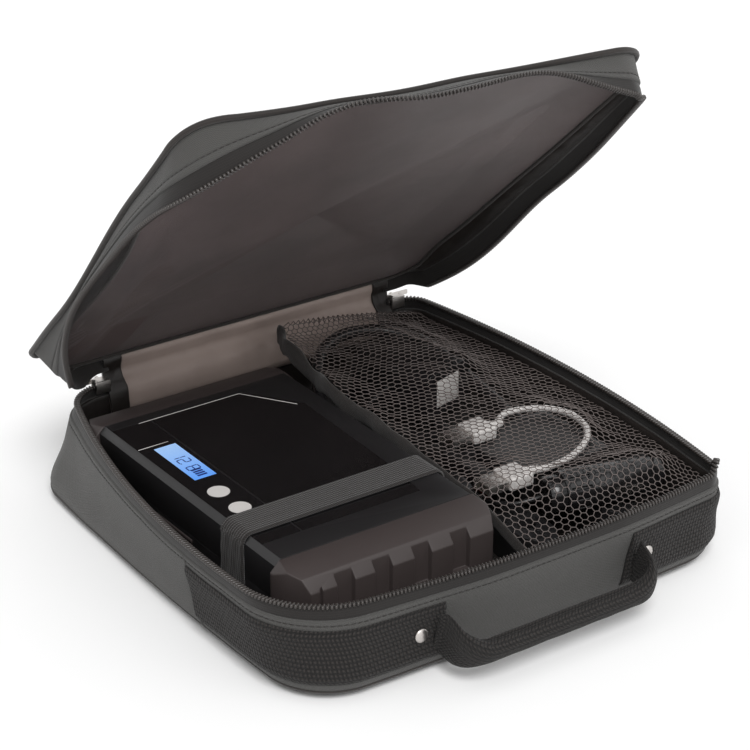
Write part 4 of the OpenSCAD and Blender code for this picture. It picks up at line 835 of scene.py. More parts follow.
class STARTER_OT_base_cloth(Builder, bpy.types.Operator):
    """Outer cloth of the base with its hem, piping and side seams"""

    bl_idname = "starter.base_cloth"
    bl_label = "Base cloth"

    def execute(self, context):
        s, c = context.scene.starter_sizes, context.scene.starter_colours
        under = base_ring(0, EDGE_ROUND)
        rows = discs(under, 0.25, 0.5, 0.75, 0.93, 1)
        for a in np.radians([22.5, 45, 67.5]):
            rows.append(base_ring(EDGE_ROUND * (1 - math.cos(a)), EDGE_ROUND * (1 - math.sin(a))))
        rows += rise(base_ring, EDGE_ROUND, BASE_HEM - 0.7, 16, 0)
        rows += [base_ring(BASE_HEM + up, d) for up, d in HEM]
        rows += rise(base_ring, BASE_HEM + 1.9, 6, 8, CLOTH_T)
        inner = base_ring(CLOTH_T, CLOTH_T + 1.2)
        rows += [base_ring(3.4, CLOTH_T + 0.4), inner] + discs(inner, 0.9, 0.6, 0.3)
        shell = piece("base_outer_cloth", skin(rows, capped=True))
        settle(shell, cloth(c, s), "base", "outer_cloth", "base_shell")

        levels = [base_ring(z, d) for z, d in FOOT_BINDING]
        levels += [base_ring(z + 0.3, d + 1.0) for z, d in reversed(FOOT_BINDING[1:-1])]
        piping = piece("base_edge_binding", skin(levels, joined=True))
        settle(piping, tape(c), "base", "dark_tape", "base_piping")

        hem = base_ring(BASE_HEM + HEM_SEAM, 0.15)[:ZIP_LAST + 1]
        settle(stitches("base_hem_stitches", hem, (0, 0, 1), s), tape(c), "base", "dark_tape")

        seams = bmesh.new()
        for run in (LEFT_SIDE, RIGHT_SIDE):
            spot = where(base_ring(RIM_H / 2, 0), 1, WEB_START_Y, run)
            wall = rise(base_ring, 5, 38.8, 24, 0.1)
            line = np.array([along_ring(ring, [spot])[0] for ring in wall])
            add_copies(seams, skin(tube_rows(line, 0.75, 8), capped=True), [Matrix()])
        settle(piece("base_side_seams", seams), cloth(c, s), "base", "outer_cloth")
        return {"FINISHED"}


class STARTER_OT_base_lining(Builder, bpy.types.Operator):
    """Lining of the base, loose and creased above its floor"""

    bl_idname = "starter.base_lining"
    bl_label = "Base lining"

    def execute(self, context):
        c = context.scene.starter_colours

        def loose(z, d):
            crumple = ON_ZIP * creases(base_ring(z, d), (11, 5, 1.5), (30, 6, 1.6))
            free = humped((z - FLOOR_TOP) / (WALL_TOP + 2 - FLOOR_TOP)) ** 0.5
            return base_ring(z, d + crumple * free)

        rows = discs(base_ring(FLOOR_TOP, CLOTH_T + LINING_T), 0.3, 0.6, 0.85, 1)
        rows += rise(loose, FLOOR_TOP + 1, WALL_TOP - 0.6, 22, CLOTH_T + LINING_T)
        rows += [base_ring(WALL_TOP, CLOTH_T + 0.55), base_ring(WALL_TOP, CLOTH_T + 0.1)]
        rows += rise(base_ring, WALL_TOP - 1, BOTTOM_Z + 0.1, 10, CLOTH_T + 0.05)
        rows += discs(rows[-1], 0.8, 0.4)
        obj = piece("base_inner_lining", skin(rows, capped=True))
        # The base's lining wears the copy with painted shade
        settle(obj, shaded_lining(c), "base", "lining", "base_lining")
        return {"FINISHED"}


# ---- Zip
# The coil's inset, and sections of the two tapes from the case's wall to it: height and inset
COIL_MIDDLE = COIL_IN + COIL_W / 2
BASE_TAPE = ((36.0, 1.6), (38.6, 0.9), (41.5, 0.75), (44.2, 1.2), (45.5, COIL_MIDDLE - 0.3))
LID_TAPE = ((56.5, 1.6), (54.0, 0.9), (51.2, 0.75), (48.4, 1.2), (47.1, COIL_MIDDLE - 0.3))


class STARTER_OT_zip(Builder, bpy.types.Operator):
    """Both halves of the zip: tapes, coils, sliders and pulls"""

    bl_idname = "starter.zip"
    bl_label = "Zip"

    def execute(self, context):
        s, c = context.scene.starter_sizes, context.scene.starter_colours
        coil = moulded("zip coil", shade(c.dark_tape[:], 1.3), roughness=0.3, grain=0, wear=0.35)
        peak = lobe(*PEAK)[:, None] * (0, 0, PEAK_HEIGHT)
        levels = [base_ring(z, d) + peak * max((z - PEAK_FOOT) / (RIM_H - PEAK_FOOT), 0)
                  for z, d in doubled(BASE_TAPE, TAPE_T)]
        settle(piece("base_zip_band", strip(levels)), zip_tape(c), "base", "dark_tape",
               "base_zip_tape")
        line = (base_ring(RIM_H - COIL_H / 2, COIL_MIDDLE) + peak)[:ZIP_LAST + 1]
        row = teeth("base_coil_teeth", line, (0, 0, 1), s)
        settle(row, coil, "base", "zip_coil", "base_zip_coil")

        levels = [lid_ring(z, d) for z, d in doubled(LID_TAPE, TAPE_T)]
        settle(piece("lid_zip_band", strip(levels)), zip_tape(c), "lid", "dark_tape",
               "lid_zip_tape")
        line = lid_ring(LID_RIM + COIL_H / 2, COIL_MIDDLE)[REAR_LEFT_LAST:REAR_RIGHT_FIRST + 1]
        settle(teeth("lid_coil_teeth", line, LID_UP, s), coil, "lid", "zip_coil", "lid_zip_coil")

        for hand in ("left", "right"):
            for part in ("slider", "pull"):
                obj = softened(f"{hand}_{part}_metal", f"{hand}_zip_{part}", 0.25)
                settle(obj, nickel(c), f"{hand}_{part}", "nickel")
        return {"FINISHED"}


# ---- Lid
# Shares of the lid's panel at which its rows lie, from near its middle out
SHARES = (0.25, 0.4, 0.55, 0.7, 0.85)
# How far the board lies in from the case's outline, and the rounding of the cloth round the panel
BOARD_IN, PANEL_ROUND = 3.6, 2.2
# Slopes of the lining under the panel, along the hinge and down the right side: where each starts,
# from the hinge or from the case's middle, how long it is and how far it sinks
REAR_START, REAR_RUN, REAR_DEPTH = 16, 34, 8.5
RIGHT_START, RIGHT_RUN, RIGHT_DEPTH = 82, 30, 5
# Its soft ridge, which runs from the hinge to the front: place, slant, width and depth; and where
# its left side is drawn in: place and reach along the outline, and how far
RIDGE_X, RIDGE_SLANT, RIDGE_W, RIDGE_DEPTH = -86, 0.1, 8, 2.4
DRAWN, DRAWN_IN = (42, 22), 11


class STARTER_OT_lid_cloth(Builder, bpy.types.Operator):
    """Outer cloth of the lid with its binding and the stiff board in its panel"""

    bl_idname = "starter.lid_cloth"
    bl_label = "Lid cloth"

    def execute(self, context):
        s, c = context.scene.starter_sizes, context.scene.starter_colours
        under = LID_TOP - CLOTH_T
        rows = [lid_ring(LID_TOP, EDGE_ROUND, share) for share in (0.12, *SHARES, 1)]
        for a in np.radians([0, 30, 60, 90]):
            down, inward = PANEL_ROUND * (1 - math.cos(a)), PANEL_ROUND * (1 - math.sin(a))
            rows.append(lid_ring(LID_TOP - down, inward))
        rows += rise(lid_ring, LID_TOP - 3.2, LID_HEM + 0.7, 12, 0)
        rows += [lid_ring(LID_HEM - down, d) for down, d in HEM]
        rows += rise(lid_ring, LID_HEM - 1.9, under - 1, 7, CLOTH_T)
        rows += [lid_ring(under, CLOTH_T + 1, share) for share in (1, *SHARES[::-1])]
        shell = piece("lid_outer_cloth", skin(rows, capped=True))
        settle(shell, cloth(c, s), "lid", "outer_cloth", "lid_shell")

        rows = [lid_ring(under - 0.1, BOARD_IN, share) for share in (*SHARES, 1)]
        rows += [lid_ring(under - BOARD_T, BOARD_IN, share) for share in (1, *SHARES[::-1])]
        board = piece("lid_stiff_board", skin(rows, capped=True), sharp=40)
        settle(board, pressed_board(), "lid", "board", "lid_board")

        piping = rope("lid_edge_binding", lid_ring(LID_TOP - 2.0, -1.2), 1.35, 10, closed=True)
        settle(piping, tape(c), "lid", "dark_tape", "lid_piping")
        hem = lid_ring(LID_HEM - HEM_SEAM, 0.15)[:ZIP_LAST + 1]
        settle(stitches("lid_hem_stitches", hem, LID_UP, s), tape(c), "lid", "dark_tape")
        return {"FINISHED"}


class STARTER_OT_lid_lining(Builder, bpy.types.Operator):
    """Satin lining of the lid: slack under its board, creased down its sides, seamed between"""

    bl_idname = "starter.lid_lining"
    bl_label = "Lid lining"

    def execute(self, context):
        c = context.scene.starter_colours
        ceiling = LID_TOP - CLOTH_T - BOARD_T - LINING_T
        set_in = CLOTH_T + 1.1 + DRAWN_IN * lobe(*DRAWN)

        def ceiling_ring(share, height=0.0):
            """The panel's lining, sloping to its seam along the hinge and down the right side."""
            ring = lid_ring(ceiling + height, set_in, share)
            reach = np.hypot(*(ring - HINGE)[:, 1:].T)
            rear = eased(1 - (reach - REAR_START) / REAR_RUN, 0)
            right = RIGHT_DEPTH * eased((ring[:, 0] - RIGHT_START) / RIGHT_RUN, 0)
            off_ridge = (ring[:, 0] - RIDGE_X + RIDGE_SLANT * reach) / RIDGE_W
            ridge = RIDGE_DEPTH * np.exp(-(off_ridge ** 2))
            pull = 2.4 + 3.2 * ripple(ring, 75, 10) + 0.8 * ripple(ring, 30, 11)
            slack = np.logaddexp(0, pull) / 3 * humped(0.5 + share / 2) ** 0.5
            sag = slack + REAR_DEPTH * rear + (right + ridge) * (1 - rear)
            return ring - sag[:, None] * LID_UP

        rows = [ceiling_ring(share) for share in (*np.linspace(0.04, 0.98, 28), 1)]
        rows += [ceiling_ring(share, LINING_T) for share in (1, 0.8, 0.5, 0.25)]
        panel = piece("lid_ceiling_lining", skin(rows, capped=True))
        settle(panel, satin("lining", c.lining[:]), "lid", "lining", "lid_lining")

        top, foot = ceiling_ring(1, -0.3), lid_ring(LID_LOW + 0.5, CLOTH_T + 1.2)
        inward = lid_ring(57, CLOTH_T + 1) - lid_ring(57, CLOTH_T)
        rows = []
        for t in np.linspace(0, 1, 15):
            ring = top * (1 - t) + foot * t
            fold = ON_ZIP * creases(ring, (10, 8, 1.4), (26, 9, 2.4)) * humped(t) ** 0.5
            rows.append(ring + inward * fold[:, None])
        rows += [lid_ring(LID_LOW, CLOTH_T + 0.8), lid_ring(LID_LOW, CLOTH_T + 0.2)]
        rows += rise(lid_ring, LID_LOW + 1, ceiling - 0.4, 6, CLOTH_T + 0.1)
        wall = piece("lid_side_lining", skin(rows, joined=True))
        # The lid's sides wear the lining's copy with painted shade
        settle(wall, shaded_lining(c), "lid", "lining", "lid_lining")

        seam = rope("lid_lining_seam", ceiling_ring(0.997, -0.5), 1.0, 8, closed=True)
        settle(seam, tape(c), "lid", "dark_tape")
        return {"FINISHED"}


# ---- Hinge cloth
# Its rows up the base's wall to the hinge, and from there up the shut lid's: y and height
HINGE_LOW = ((RIM_BACK - 4.2, 27), (RIM_BACK - 3.8, 31), (RIM_BACK - 3.2, 35), (RIM_BACK - 2.4, 39),
             (RIM_BACK - 0.8, 41.8), (HINGE_Y - 2.4, 43.8), (HINGE_Y - 0.9, 45.4))
HINGE_HIGH = ((HINGE_Y - 0.9, 47.2), (HINGE_Y - 2.2, 48.6), (RIM_BACK - 1.2, 50.0),
              (RIM_BACK - 2.8, 51.4), (RIM_BACK - 3.4, 52.8), (RIM_BACK - 3.6, 54.4))


class STARTER_OT_hinge(Builder, bpy.types.Operator):
    """One strip of cloth that joins base and lid, shaped bent at the hinge as the lid stands open,
    and its end tabs, dark with painted shade
    """

    bl_idname = "starter.hinge"
    bl_label = "Hinge cloth"

    def execute(self, context):
        c = context.scene.starter_colours
        # The hinge strip wears the lining's copy with painted light
        light = satin("lit hinge lining", c.hinge[:], roughness=0.36, wrinkle=0.0009)
        self.strip("hinge_cloth", ZIP_LEFT - 2, ZIP_RIGHT + 2, 110, 0, (2.6, 0.9), light)
        # Both end tabs wear the lining's copy with painted shade
        self.strip("hinge_left_tab", ZIP_LEFT - 2.5, ZIP_LEFT + 8, 16, 1.6, (1.2, 2.2),
                   shaded_lining(c))
        self.strip("hinge_right_tab", ZIP_RIGHT - 7, ZIP_RIGHT + 2.5, 16, 1.6, (1.2, 2.2),
                   shaded_lining(c))
        return {"FINISHED"}

    def strip(self, name, left, right, steps, ahead, folds, material):
        """A strip so far ahead of the wall, its broad and narrow folds so deep."""
        columns = np.linspace(left, right, steps)
        faces = []
        for back in (-ahead, 1.0 - ahead):
            low, high = (np.array([[[x, y + back, z] for x in columns] for y, z in rows])
                         for rows in (HINGE_LOW, HINGE_HIGH))
            faces.append([*low, *opened(high)])
        for k, line in enumerate(faces[0]):
            fold = humped(k / (len(faces[0]) - 1)) ** 0.7
            broad = creases(line * (1, 0.35, 0.35), (30, 13, folds[0]))
            line[:, 1] -= fold * (broad + creases(line, (11, 12, folds[1])))
        obj = piece(name, skin(pinch(np.stack(faces[0] + faces[1][::-1], 1))))
        obj.data.materials.append(material)
        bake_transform(obj)
        if ahead == 0:
            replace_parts(obj, "hinge_strip_base", "hinge_strip_lid")


# ---- Webbing and handle
# A rivet's domed head: shares of its radius and heights
RIVET = ((0, -0.6), (0.9, -0.6), (0.98, -0.1), (1, 0.25), (0.94, 0.6), (0.78, 0.95), (0.5, 1.25),
         (0.22, 1.4), (0, 1.44))
# The middle of the handle: half thickness, half width and the roundness of its section
GRIP = (5.1, 5.1, 2.2)
# Its left half from behind the webbing to the grip: x, y, heading and the same three
ARM = (
    (-FOLD_X - 3.2, 1.2, -8, 0.8, 11.6, 5), (-FOLD_X - 0.6, 0.4, -50, 0.9, 11.8, 5),
    (-FOLD_X + 0.2, -2.2, -88, 1.0, 11.6, 5), (-FOLD_X + 0.6, -6.0, -86, 1.3, 11.2, 4.5),
    (-FOLD_X + 1.5, -10.6, -74, 2.2, 10.0, 4), (-FOLD_X + 4.8, -14.8, -46, 3.6, 8.2, 3.2),
    (-FOLD_X + 11.0, -16.8, -12, 4.5, 6.2, 2.6), (-37, -HANDLE_REACH, -2, 5.0, 5.3, 2.2),
)


class STARTER_OT_webbing(Builder, bpy.types.Operator):
    """Webbing round both front corners, with a rivet by each end of the handle"""

    bl_idname = "starter.webbing"
    bl_label = "Webbing and rivets"

    def execute(self, context):
        s, c = context.scene.starter_sizes, context.scene.starter_colours
        middle = base_ring(RIM_H / 2, 0)
        left = where(middle, 1, WEB_START_Y, LEFT_SIDE), where(middle, 0, -WEB_END_X, FRONT_SIDE)
        right = where(middle, 0, WEB_END_X, FRONT_SIDE), where(middle, 1, WEB_START_Y, RIGHT_SIDE)
        for hand, ends in (("left", left), ("right", right)):
            stops = np.linspace(*ends, 110)
            outer, inner = [], []
            for h in np.linspace(-WEB_W / 2, WEB_W / 2, 11):
                z, thick = WEB_Z + h, WEB_T * (1 - abs(2 * h / WEB_W) ** 10 * 0.8)
                wave = 0.25 * ripple(base_ring(z, 0), 16, 14)[:, None] * [[1, 1, 0]]
                outer.append(along_ring(base_ring(z, -WEB_GAP - thick) + wave, stops))
                inner.append(along_ring(base_ring(z, -WEB_GAP), stops))
            obj = piece(f"{hand}_webbing_band", skin(pinch(np.stack(outer + inner[::-1], 1))))
            settle(obj, webbing(c, s), "base", "dark_tape", f"webbing_{hand}")

        face = base_ring(WEB_Z, -WEB_GAP - WEB_T)
        for hand, x in (("left", -RIVET_X), ("right", RIVET_X)):
            head = lathe([(share * RIVET_D / 2, h) for share, h in RIVET])
            spot = along_ring(face, [where(face, 0, x, FRONT_SIDE)])[0]
            obj = piece(f"{hand}_rivet", stood(head, 90, "X", spot), sharp=50)
            settle(obj, nickel(c), "base", "nickel", "handle_rivets")
        return {"FINISHED"}


def drooped(p):
    """Points of the level handle, hanging about its fold."""
    return turned(p, HANDLE_DROOP, FOLD_Y, WEB_Z)


class STARTER_OT_handle(Builder, bpy.types.Operator):
    """Handle: webbing that folds out from the case, narrows and is rolled round a soft core"""

    bl_idname = "starter.handle"
    bl_label = "Handle"

    def execute(self, context):
        s, c = context.scene.starter_sizes, context.scene.starter_colours
        half = [*ARM, *((x, -HANDLE_REACH, 0, *GRIP) for x in (-26, -13, 0))]
        stations = half + [(-x, y, -turn, *section) for x, y, turn, *section in half[-2::-1]]
        a = np.linspace(0, 2 * np.pi, 37)[:-1]
        cos_a, sin_a = np.cos(a), np.sin(a)
        rows = []
        for x, y, turn, thick, wide, power in through(stations, 7):
            way = math.radians(turn)
            # A shallow groove along the rolled part, where its edge is sewn down
            rolled = min(max((5 - power) / 2.8, 0), 1)
            seam = 1 - 0.16 * rolled * np.exp(-(((a - 1.25) / 0.12) ** 2))
            across = np.sign(cos_a) * np.abs(cos_a) ** (2 / power) * thick * seam
            up = np.sign(sin_a) * np.abs(sin_a) ** (2 / max(power * 0.8, 2)) * wide * seam
            rows.append(np.stack([x - across * math.sin(way), y + across * math.cos(way), up], 1))
        rows = drooped(np.array(rows))
        out = rows - rows.mean(1, keepdims=True)
        out /= np.linalg.norm(out, axis=2, keepdims=True)
        bumps = 0.22 * ripple(rows.reshape(-1, 3), 9, 15).reshape(rows.shape[:2])
        obj = piece("carry_handle", skin(rows + out * bumps[..., None], capped=True))
        obj.data.materials.append(webbing(c, s))
        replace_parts(obj, "handle_strap", "handle_grip")
        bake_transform(obj)
        return {"FINISHED"}


# ---- Strap
# How the strap bends over the booster's edge: in from its side and down from its top
STRAP_BEND = ((0, 5.5), (0.35, 3.2), (1.5, 1.3), (3.3, 0.2), (6, 0), (20, 0))
# How far along its path, in steps, the strap bunches up on the booster's left side
BUNCHED = 38


class STARTER_OT_strap(Builder, bpy.types.Operator):
    """Ribbed elastic strap over the booster, sewn to the floor at both sides"""

    bl_idname = "starter.strap"
    bl_label = "Elastic strap"

    def execute(self, context):
        s, c = context.scene.starter_sizes, context.scene.starter_colours
        left, right = UNIT_LEFT - STRAP_GAP, UNIT_RIGHT + STRAP_GAP
        top, low = UNIT_TOP + STRAP_GAP, FLOOR_TOP
        path = through([
            (left - 4.6, low + 0.1), (left - 2.6, low + 0.6), (left - 0.6, low + 3.5),
            (left - 0.1, low + 9), (left, 22), (left, 32),
            *((left + a, top - b) for a, b in STRAP_BEND), (-50, top),
            *((right - a, top - b) for a, b in reversed(STRAP_BEND)), (right, 32), (right, 20),
            (right, low + 0.1),
        ], 5)
        way = np.gradient(path, axis=0)
        way /= np.linalg.norm(way, axis=1)[:, None]
        across = np.linspace(0, STRAP_BACK - STRAP_FRONT, 41)
        y = STRAP_BACK - across
        rows = []
        for k, ((px, pz), (nz, nx)) in enumerate(zip(path, way * (1, -1))):
            bunch = 0.35 * math.sin(k * 0.7) * np.sin(across * 0.9 + k * 0.35) * (k < BUNCHED)
            outer = STRAP_T + bunch
            outer[[0, -1]] = STRAP_T * 0.5
            faces = [np.stack([px + nx * up, y, pz + nz * up], 1)
                     for up in (outer, np.full(len(y), 0.05))]
            rows.append(np.concatenate([faces[0], faces[1][::-1]]))
        obj = piece("booster_strap", skin(pinch(rows)))
        # Strong painted shade: the strap's grooves keep about a tenth of its colour
        elastic = ribbed("strap", c.strap[:], s.rib_pitch, 0.00045, cross=0.0011, low=0.1, high=1.0)
        settle(obj, elastic, "base", "dark_tape", "elastic_strap")
        return {"FINISHED"}


# ---- Net pocket
# The free edge of the net from the rear to the front: x, y and height
POCKET_EDGE = np.array([
    (26, 116, 53), (17, 90, 53), (12, 60, 51), (11, 25, 49), (11, -15, 46), (11, -45, 43),
    (12, -75, 39), (16, -100, 26), (19, -124, 15)], float)
# The net lying flat, and the x at which its free edge and its right side meet the front wall
NET_W, NET_L, NET_LEFT_X, NET_RIGHT_X = 104.0, 243.0, 19, RIM_RIGHT - 8
# Lines on the front wall, high and low, and on the right wall that the net's edges are sewn to
NET_IN, NET_LOW_Z = CLOTH_T + LINING_T + 0.4, 9
FRONT_HIGH, FRONT_LOW = (base_ring(z, NET_IN)[FRONT_SIDE[0] + 2:RIGHT_SIDE[0] - 6, :2]
                         for z in (NET_EDGE_Z, NET_LOW_Z))
RIGHT_WALL = base_ring(NET_EDGE_Z, NET_IN)[FRONT_SIDE[1] + 2:ZIP_LAST, :2]
# The CAD nodes that the net is drawn over
POCKET_THINGS = ("charger_body", "charger_label", "charger_pins", "car_plug_body",
                 "car_plug_contacts", "lead_module", "jump_leads", "charge_lead", "red_clamp_lower",
                 "red_clamp_upper", "black_clamp_lower", "black_clamp_upper", "clamp_pins",
                 "usb_lead", "usb_plugs")
# How often the net's knots are levelled with their neighbours, and how far each then sinks
NET_STEPS, NET_WEIGHT = 260, 0.035
# How high knots lie over the pocket's floor and over a thing, and how far round they feel for one
KNOT_OVER_FLOOR, KNOT_OVER_THING, KNOT_REACH = 4, 1.3, 1.6


def front_wall_y(x, line):
    return np.interp(x, line[:, 0], line[:, 1])


def edge_at(y):
    """Where the net's free edge is at that y: its x and its height, waved where it is loose."""
    y, order = np.asarray(y), POCKET_EDGE[::-1]
    loose = np.clip(y / 50, 0, 1) * np.clip((118 - y) / 20, 0, 1)
    x = np.interp(y, order[:, 1], order[:, 0]) + 2.2 * loose * np.sin(y / 9)
    return x, np.interp(y, order[:, 1], order[:, 2]) + 2.6 * loose * np.sin(y / 7 + 1)


def net_point(u, v):
    """A place on the net, u from its free edge to the right wall, v from rear to front."""
    left_y = NET_BACK + (front_wall_y(NET_LEFT_X, FRONT_LOW) - NET_BACK) * v
    right_y = NET_BACK + (front_wall_y(NET_RIGHT_X, FRONT_HIGH) - NET_BACK) * v
    edge_x, _ = edge_at(left_y)
    x = edge_x + 0.9 + u * (np.interp(right_y, RIGHT_WALL[:, 1], RIGHT_WALL[:, 0]) - edge_x - 0.9)
    share = np.clip(u * 2.5, 0, 1)
    front_y = front_wall_y(x, FRONT_HIGH) * share + front_wall_y(x, FRONT_LOW) * (1 - share)
    y = NET_BACK + (front_y - NET_BACK) * v
    _, edge_z = edge_at(y)
    crown = NET_CROWN * (humped(u) ** 0.3 * humped(v) ** 0.3)
    z = edge_z + (NET_EDGE_Z - edge_z) * u ** (0.45 + 0.55 * (1 - v)) + crown
    return np.stack([x, y, z], -1)


class STARTER_OT_net(Builder, bpy.types.Operator):
    """Net pocket of six-sided cells, drawn over what lies under it and gathered at its free edge"""

    bl_idname = "starter.net"
    bl_label = "Net pocket"

    def execute(self, context):
        s, c = context.scene.starter_sizes, context.scene.starter_colours
        cell = s.net_cell / MM
        r = cell / math.sqrt(3)
        hexagon = bmesh.new()
        bmesh.ops.create_circle(hexagon, cap_ends=True, radius=r, segments=6)
        places = [Matrix.Translation((i * cell + (j % 2) * cell / 2, j * 1.5 * r, 0))
                  for i in range(int(NET_W / cell)) for j in range(int(NET_L / (1.5 * r)))]
        bm = add_copies(bmesh.new(), hexagon, places)
        bmesh.ops.remove_doubles(bm, verts=bm.verts, dist=0.02)
        flat = np.array([v.co[:2] for v in bm.verts])
        u, v = ((flat - flat.min(0)) / (flat.max(0) - flat.min(0))).T
        at = net_point(u, v)
        inner = humped(u) ** 0.5 * humped(v) ** 0.5
        at[:, :2] += (inner * 0.6)[:, None] * np.stack([ripple(at, 6, 23), ripple(at, 6, 24)], 1)
        at[:, 2] = self.drape(bm, at, (u < 0.01) | (u > 0.99) | (v < 0.01) | (v > 0.99))
        for vert, p in zip(bm.verts, at):
            vert.co = Vector(p) * MM
        bmesh.ops.recalc_face_normals(bm, faces=bm.faces)
        bmesh.ops.wireframe(bm, faces=bm.faces[:], thickness=s.net_yarn, offset=0.5,
                            use_replace=True, use_boundary=True, use_even_offset=True)
        bmesh.ops.recalc_face_normals(bm, faces=bm.faces)
        yarn = moulded("net yarn", c.net[:], roughness=0.45, grain=0.00005, size=1800, wear=0.3)
        settle(piece("pocket_net", bm), yarn, "base", "net", "mesh_pocket")
        return {"FINISHED"}

    def drape(self, bm, at, held):
        """Heights of the net's knots once it has settled on the pocket's things, edges held."""
        under = bmesh.new()
        for node in POCKET_THINGS:
            under.from_mesh(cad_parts[node].data)
        tree = BVHTree.FromBMesh(under)
        under.free()
        rest = np.full(len(at), FLOOR_TOP + KNOT_OVER_FLOOR)
        around = [(KNOT_REACH * dx, KNOT_REACH * dy)
                  for dx, dy in ((0, 0), (1, 0), (-1, 0), (0, 1), (0, -1))]
        for k, p in enumerate(at):
            for dx, dy in around:
                hit = tree.ray_cast(Vector((p[0] + dx, p[1] + dy, 100)) * MM, Vector((0, 0, -1)))[0]
                if hit:
                    rest[k] = max(rest[k], hit.z / MM + KNOT_OVER_THING)
        one, two = np.array([[e.verts[0].index, e.verts[1].index] for e in bm.edges]).T
        size = len(at)
        count = np.bincount(one, minlength=size) + np.bincount(two, minlength=size)
        z = at[:, 2].copy()
        for _ in range(NET_STEPS):
            total = np.bincount(one, z[two], size) + np.bincount(two, z[one], size)
            z = np.where(held, at[:, 2], np.maximum(total / count - NET_WEIGHT, rest))
        return z + np.where(held, 0, creases(at, (18, 21, 1.7), (8, 22, 0.9)))


class STARTER_OT_binding(Builder, bpy.types.Operator):
    """Folded binding along the net's free edge, thick at the rear and thin at the front"""

    bl_idname = "starter.binding"
    bl_label = "Net binding"

    def execute(self, context):
        c = context.scene.starter_colours
        front_y = float(front_wall_y(NET_LEFT_X, FRONT_LOW))
        rows = []
        a = np.linspace(0, 2 * np.pi, 21)[:-1]
        flat = np.sign(np.cos(a)) * np.abs(np.cos(a)) ** 0.7
        for t in np.linspace(0, 1, 150):
            y = NET_BACK + (front_y - NET_BACK) * t
            x, z = edge_at(y)
            thick, tall = 3.0 - 1.9 * t, 5.6 - 2.6 * t
            lean = 0.9 * math.sin(t * 60) * (1 - t)
            ring = np.stack([x + 0.2 - thick / 2 + thick * 0.5 * flat + lean * np.sin(a),
                             np.full(len(a), y), z - tall + 1.4 + tall * np.sin(a)], 1)
            uneven = np.stack([ripple(ring, 5, 31), 0 * a, ripple(ring, 7, 32)], 1)
            rows.append(ring + 0.5 * (1 - t) * uneven)
        obj = piece("pocket_edge_binding", skin(rows, capped=True))
        settle(obj, ribbed("binding", c.dark_tape[:], 0.0013, 0.00015, across=1), "base",
               "dark_tape", "pocket_binding")
        return {"FINISHED"}


# ---- Booster
class STARTER_OT_booster(Builder, bpy.types.Operator):
    """Booster case, its films and its rubber ends"""

    bl_idname = "starter.booster"
    bl_label = "Booster case"

    def execute(self, context):
        c = context.scene.starter_colours
        rubber = moulded("bumper rubber", c.bumper[:], roughness=0.5, grain=0.00004, size=1400,
                         wear=0.12, Specular_IOR_Level=0.4)
        for name, width in (("lower_case", 0.4), ("upper_case", 0.7)):
            settle(softened(f"booster_{name}", f"unit_{name}", width), plastic(c), "base",
                   "black_plastic")
        for end in ("front", "rear"):
            settle(softened(f"{end}_rubber_bumper", f"{end}_bumper", 0.9, 3), rubber, "base",
                   "bumper_rubber")
        settle(softened("rubber_port_cover", "port_cover", 0.3), rubber, "port_cover",
               "bumper_rubber")
        for node in ("control_film", "label_film"):
            wear(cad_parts[node], gloss_film())
        settle(softened("booster_feet", "unit_feet", 0.3), rubber, "base", "bumper_rubber")
        return {"FINISHED"}


# Which bars of a figure are lit, and where they lie: up it, along its width, and if they stand
LIT = {"1": "bc", "2": "abged", "8": "abcdefg"}
FIGURE_H, FIGURE_W, BAR_W, BAR_GAP = 6.4, 3.6, 0.62, 0.5
BARS = {"a": (1, -0.5, False), "d": (0, -0.5, False), "g": (0.5, -0.5, False), "f": (0.75, 0, True),
        "e": (0.25, 0, True), "b": (0.75, -1, True), "c": (0.25, -1, True)}
# Where the first figure stands, the way to the next, and how much closer the last one is
FIGURE_Y, FIGURE_PITCH, AFTER_POINT = 33.5, 5.6, 2.8
# The charge bars: the first one's place from the display's end, their pitch and their size
CHARGE_Y, CHARGE_PITCH, CHARGE_SIZE = 3.2, 2.0, (5.2, 1.3)
# The lines printed on the control film
PRINTED = [
    [(-86.5, 72.0), (-29.6, 72.0), (-29.0, 71.8), (-28.6, 71.4), (-11.5, 45.5)],
    [(-101.0, 47.5), (-84.5, 47.5)],
]


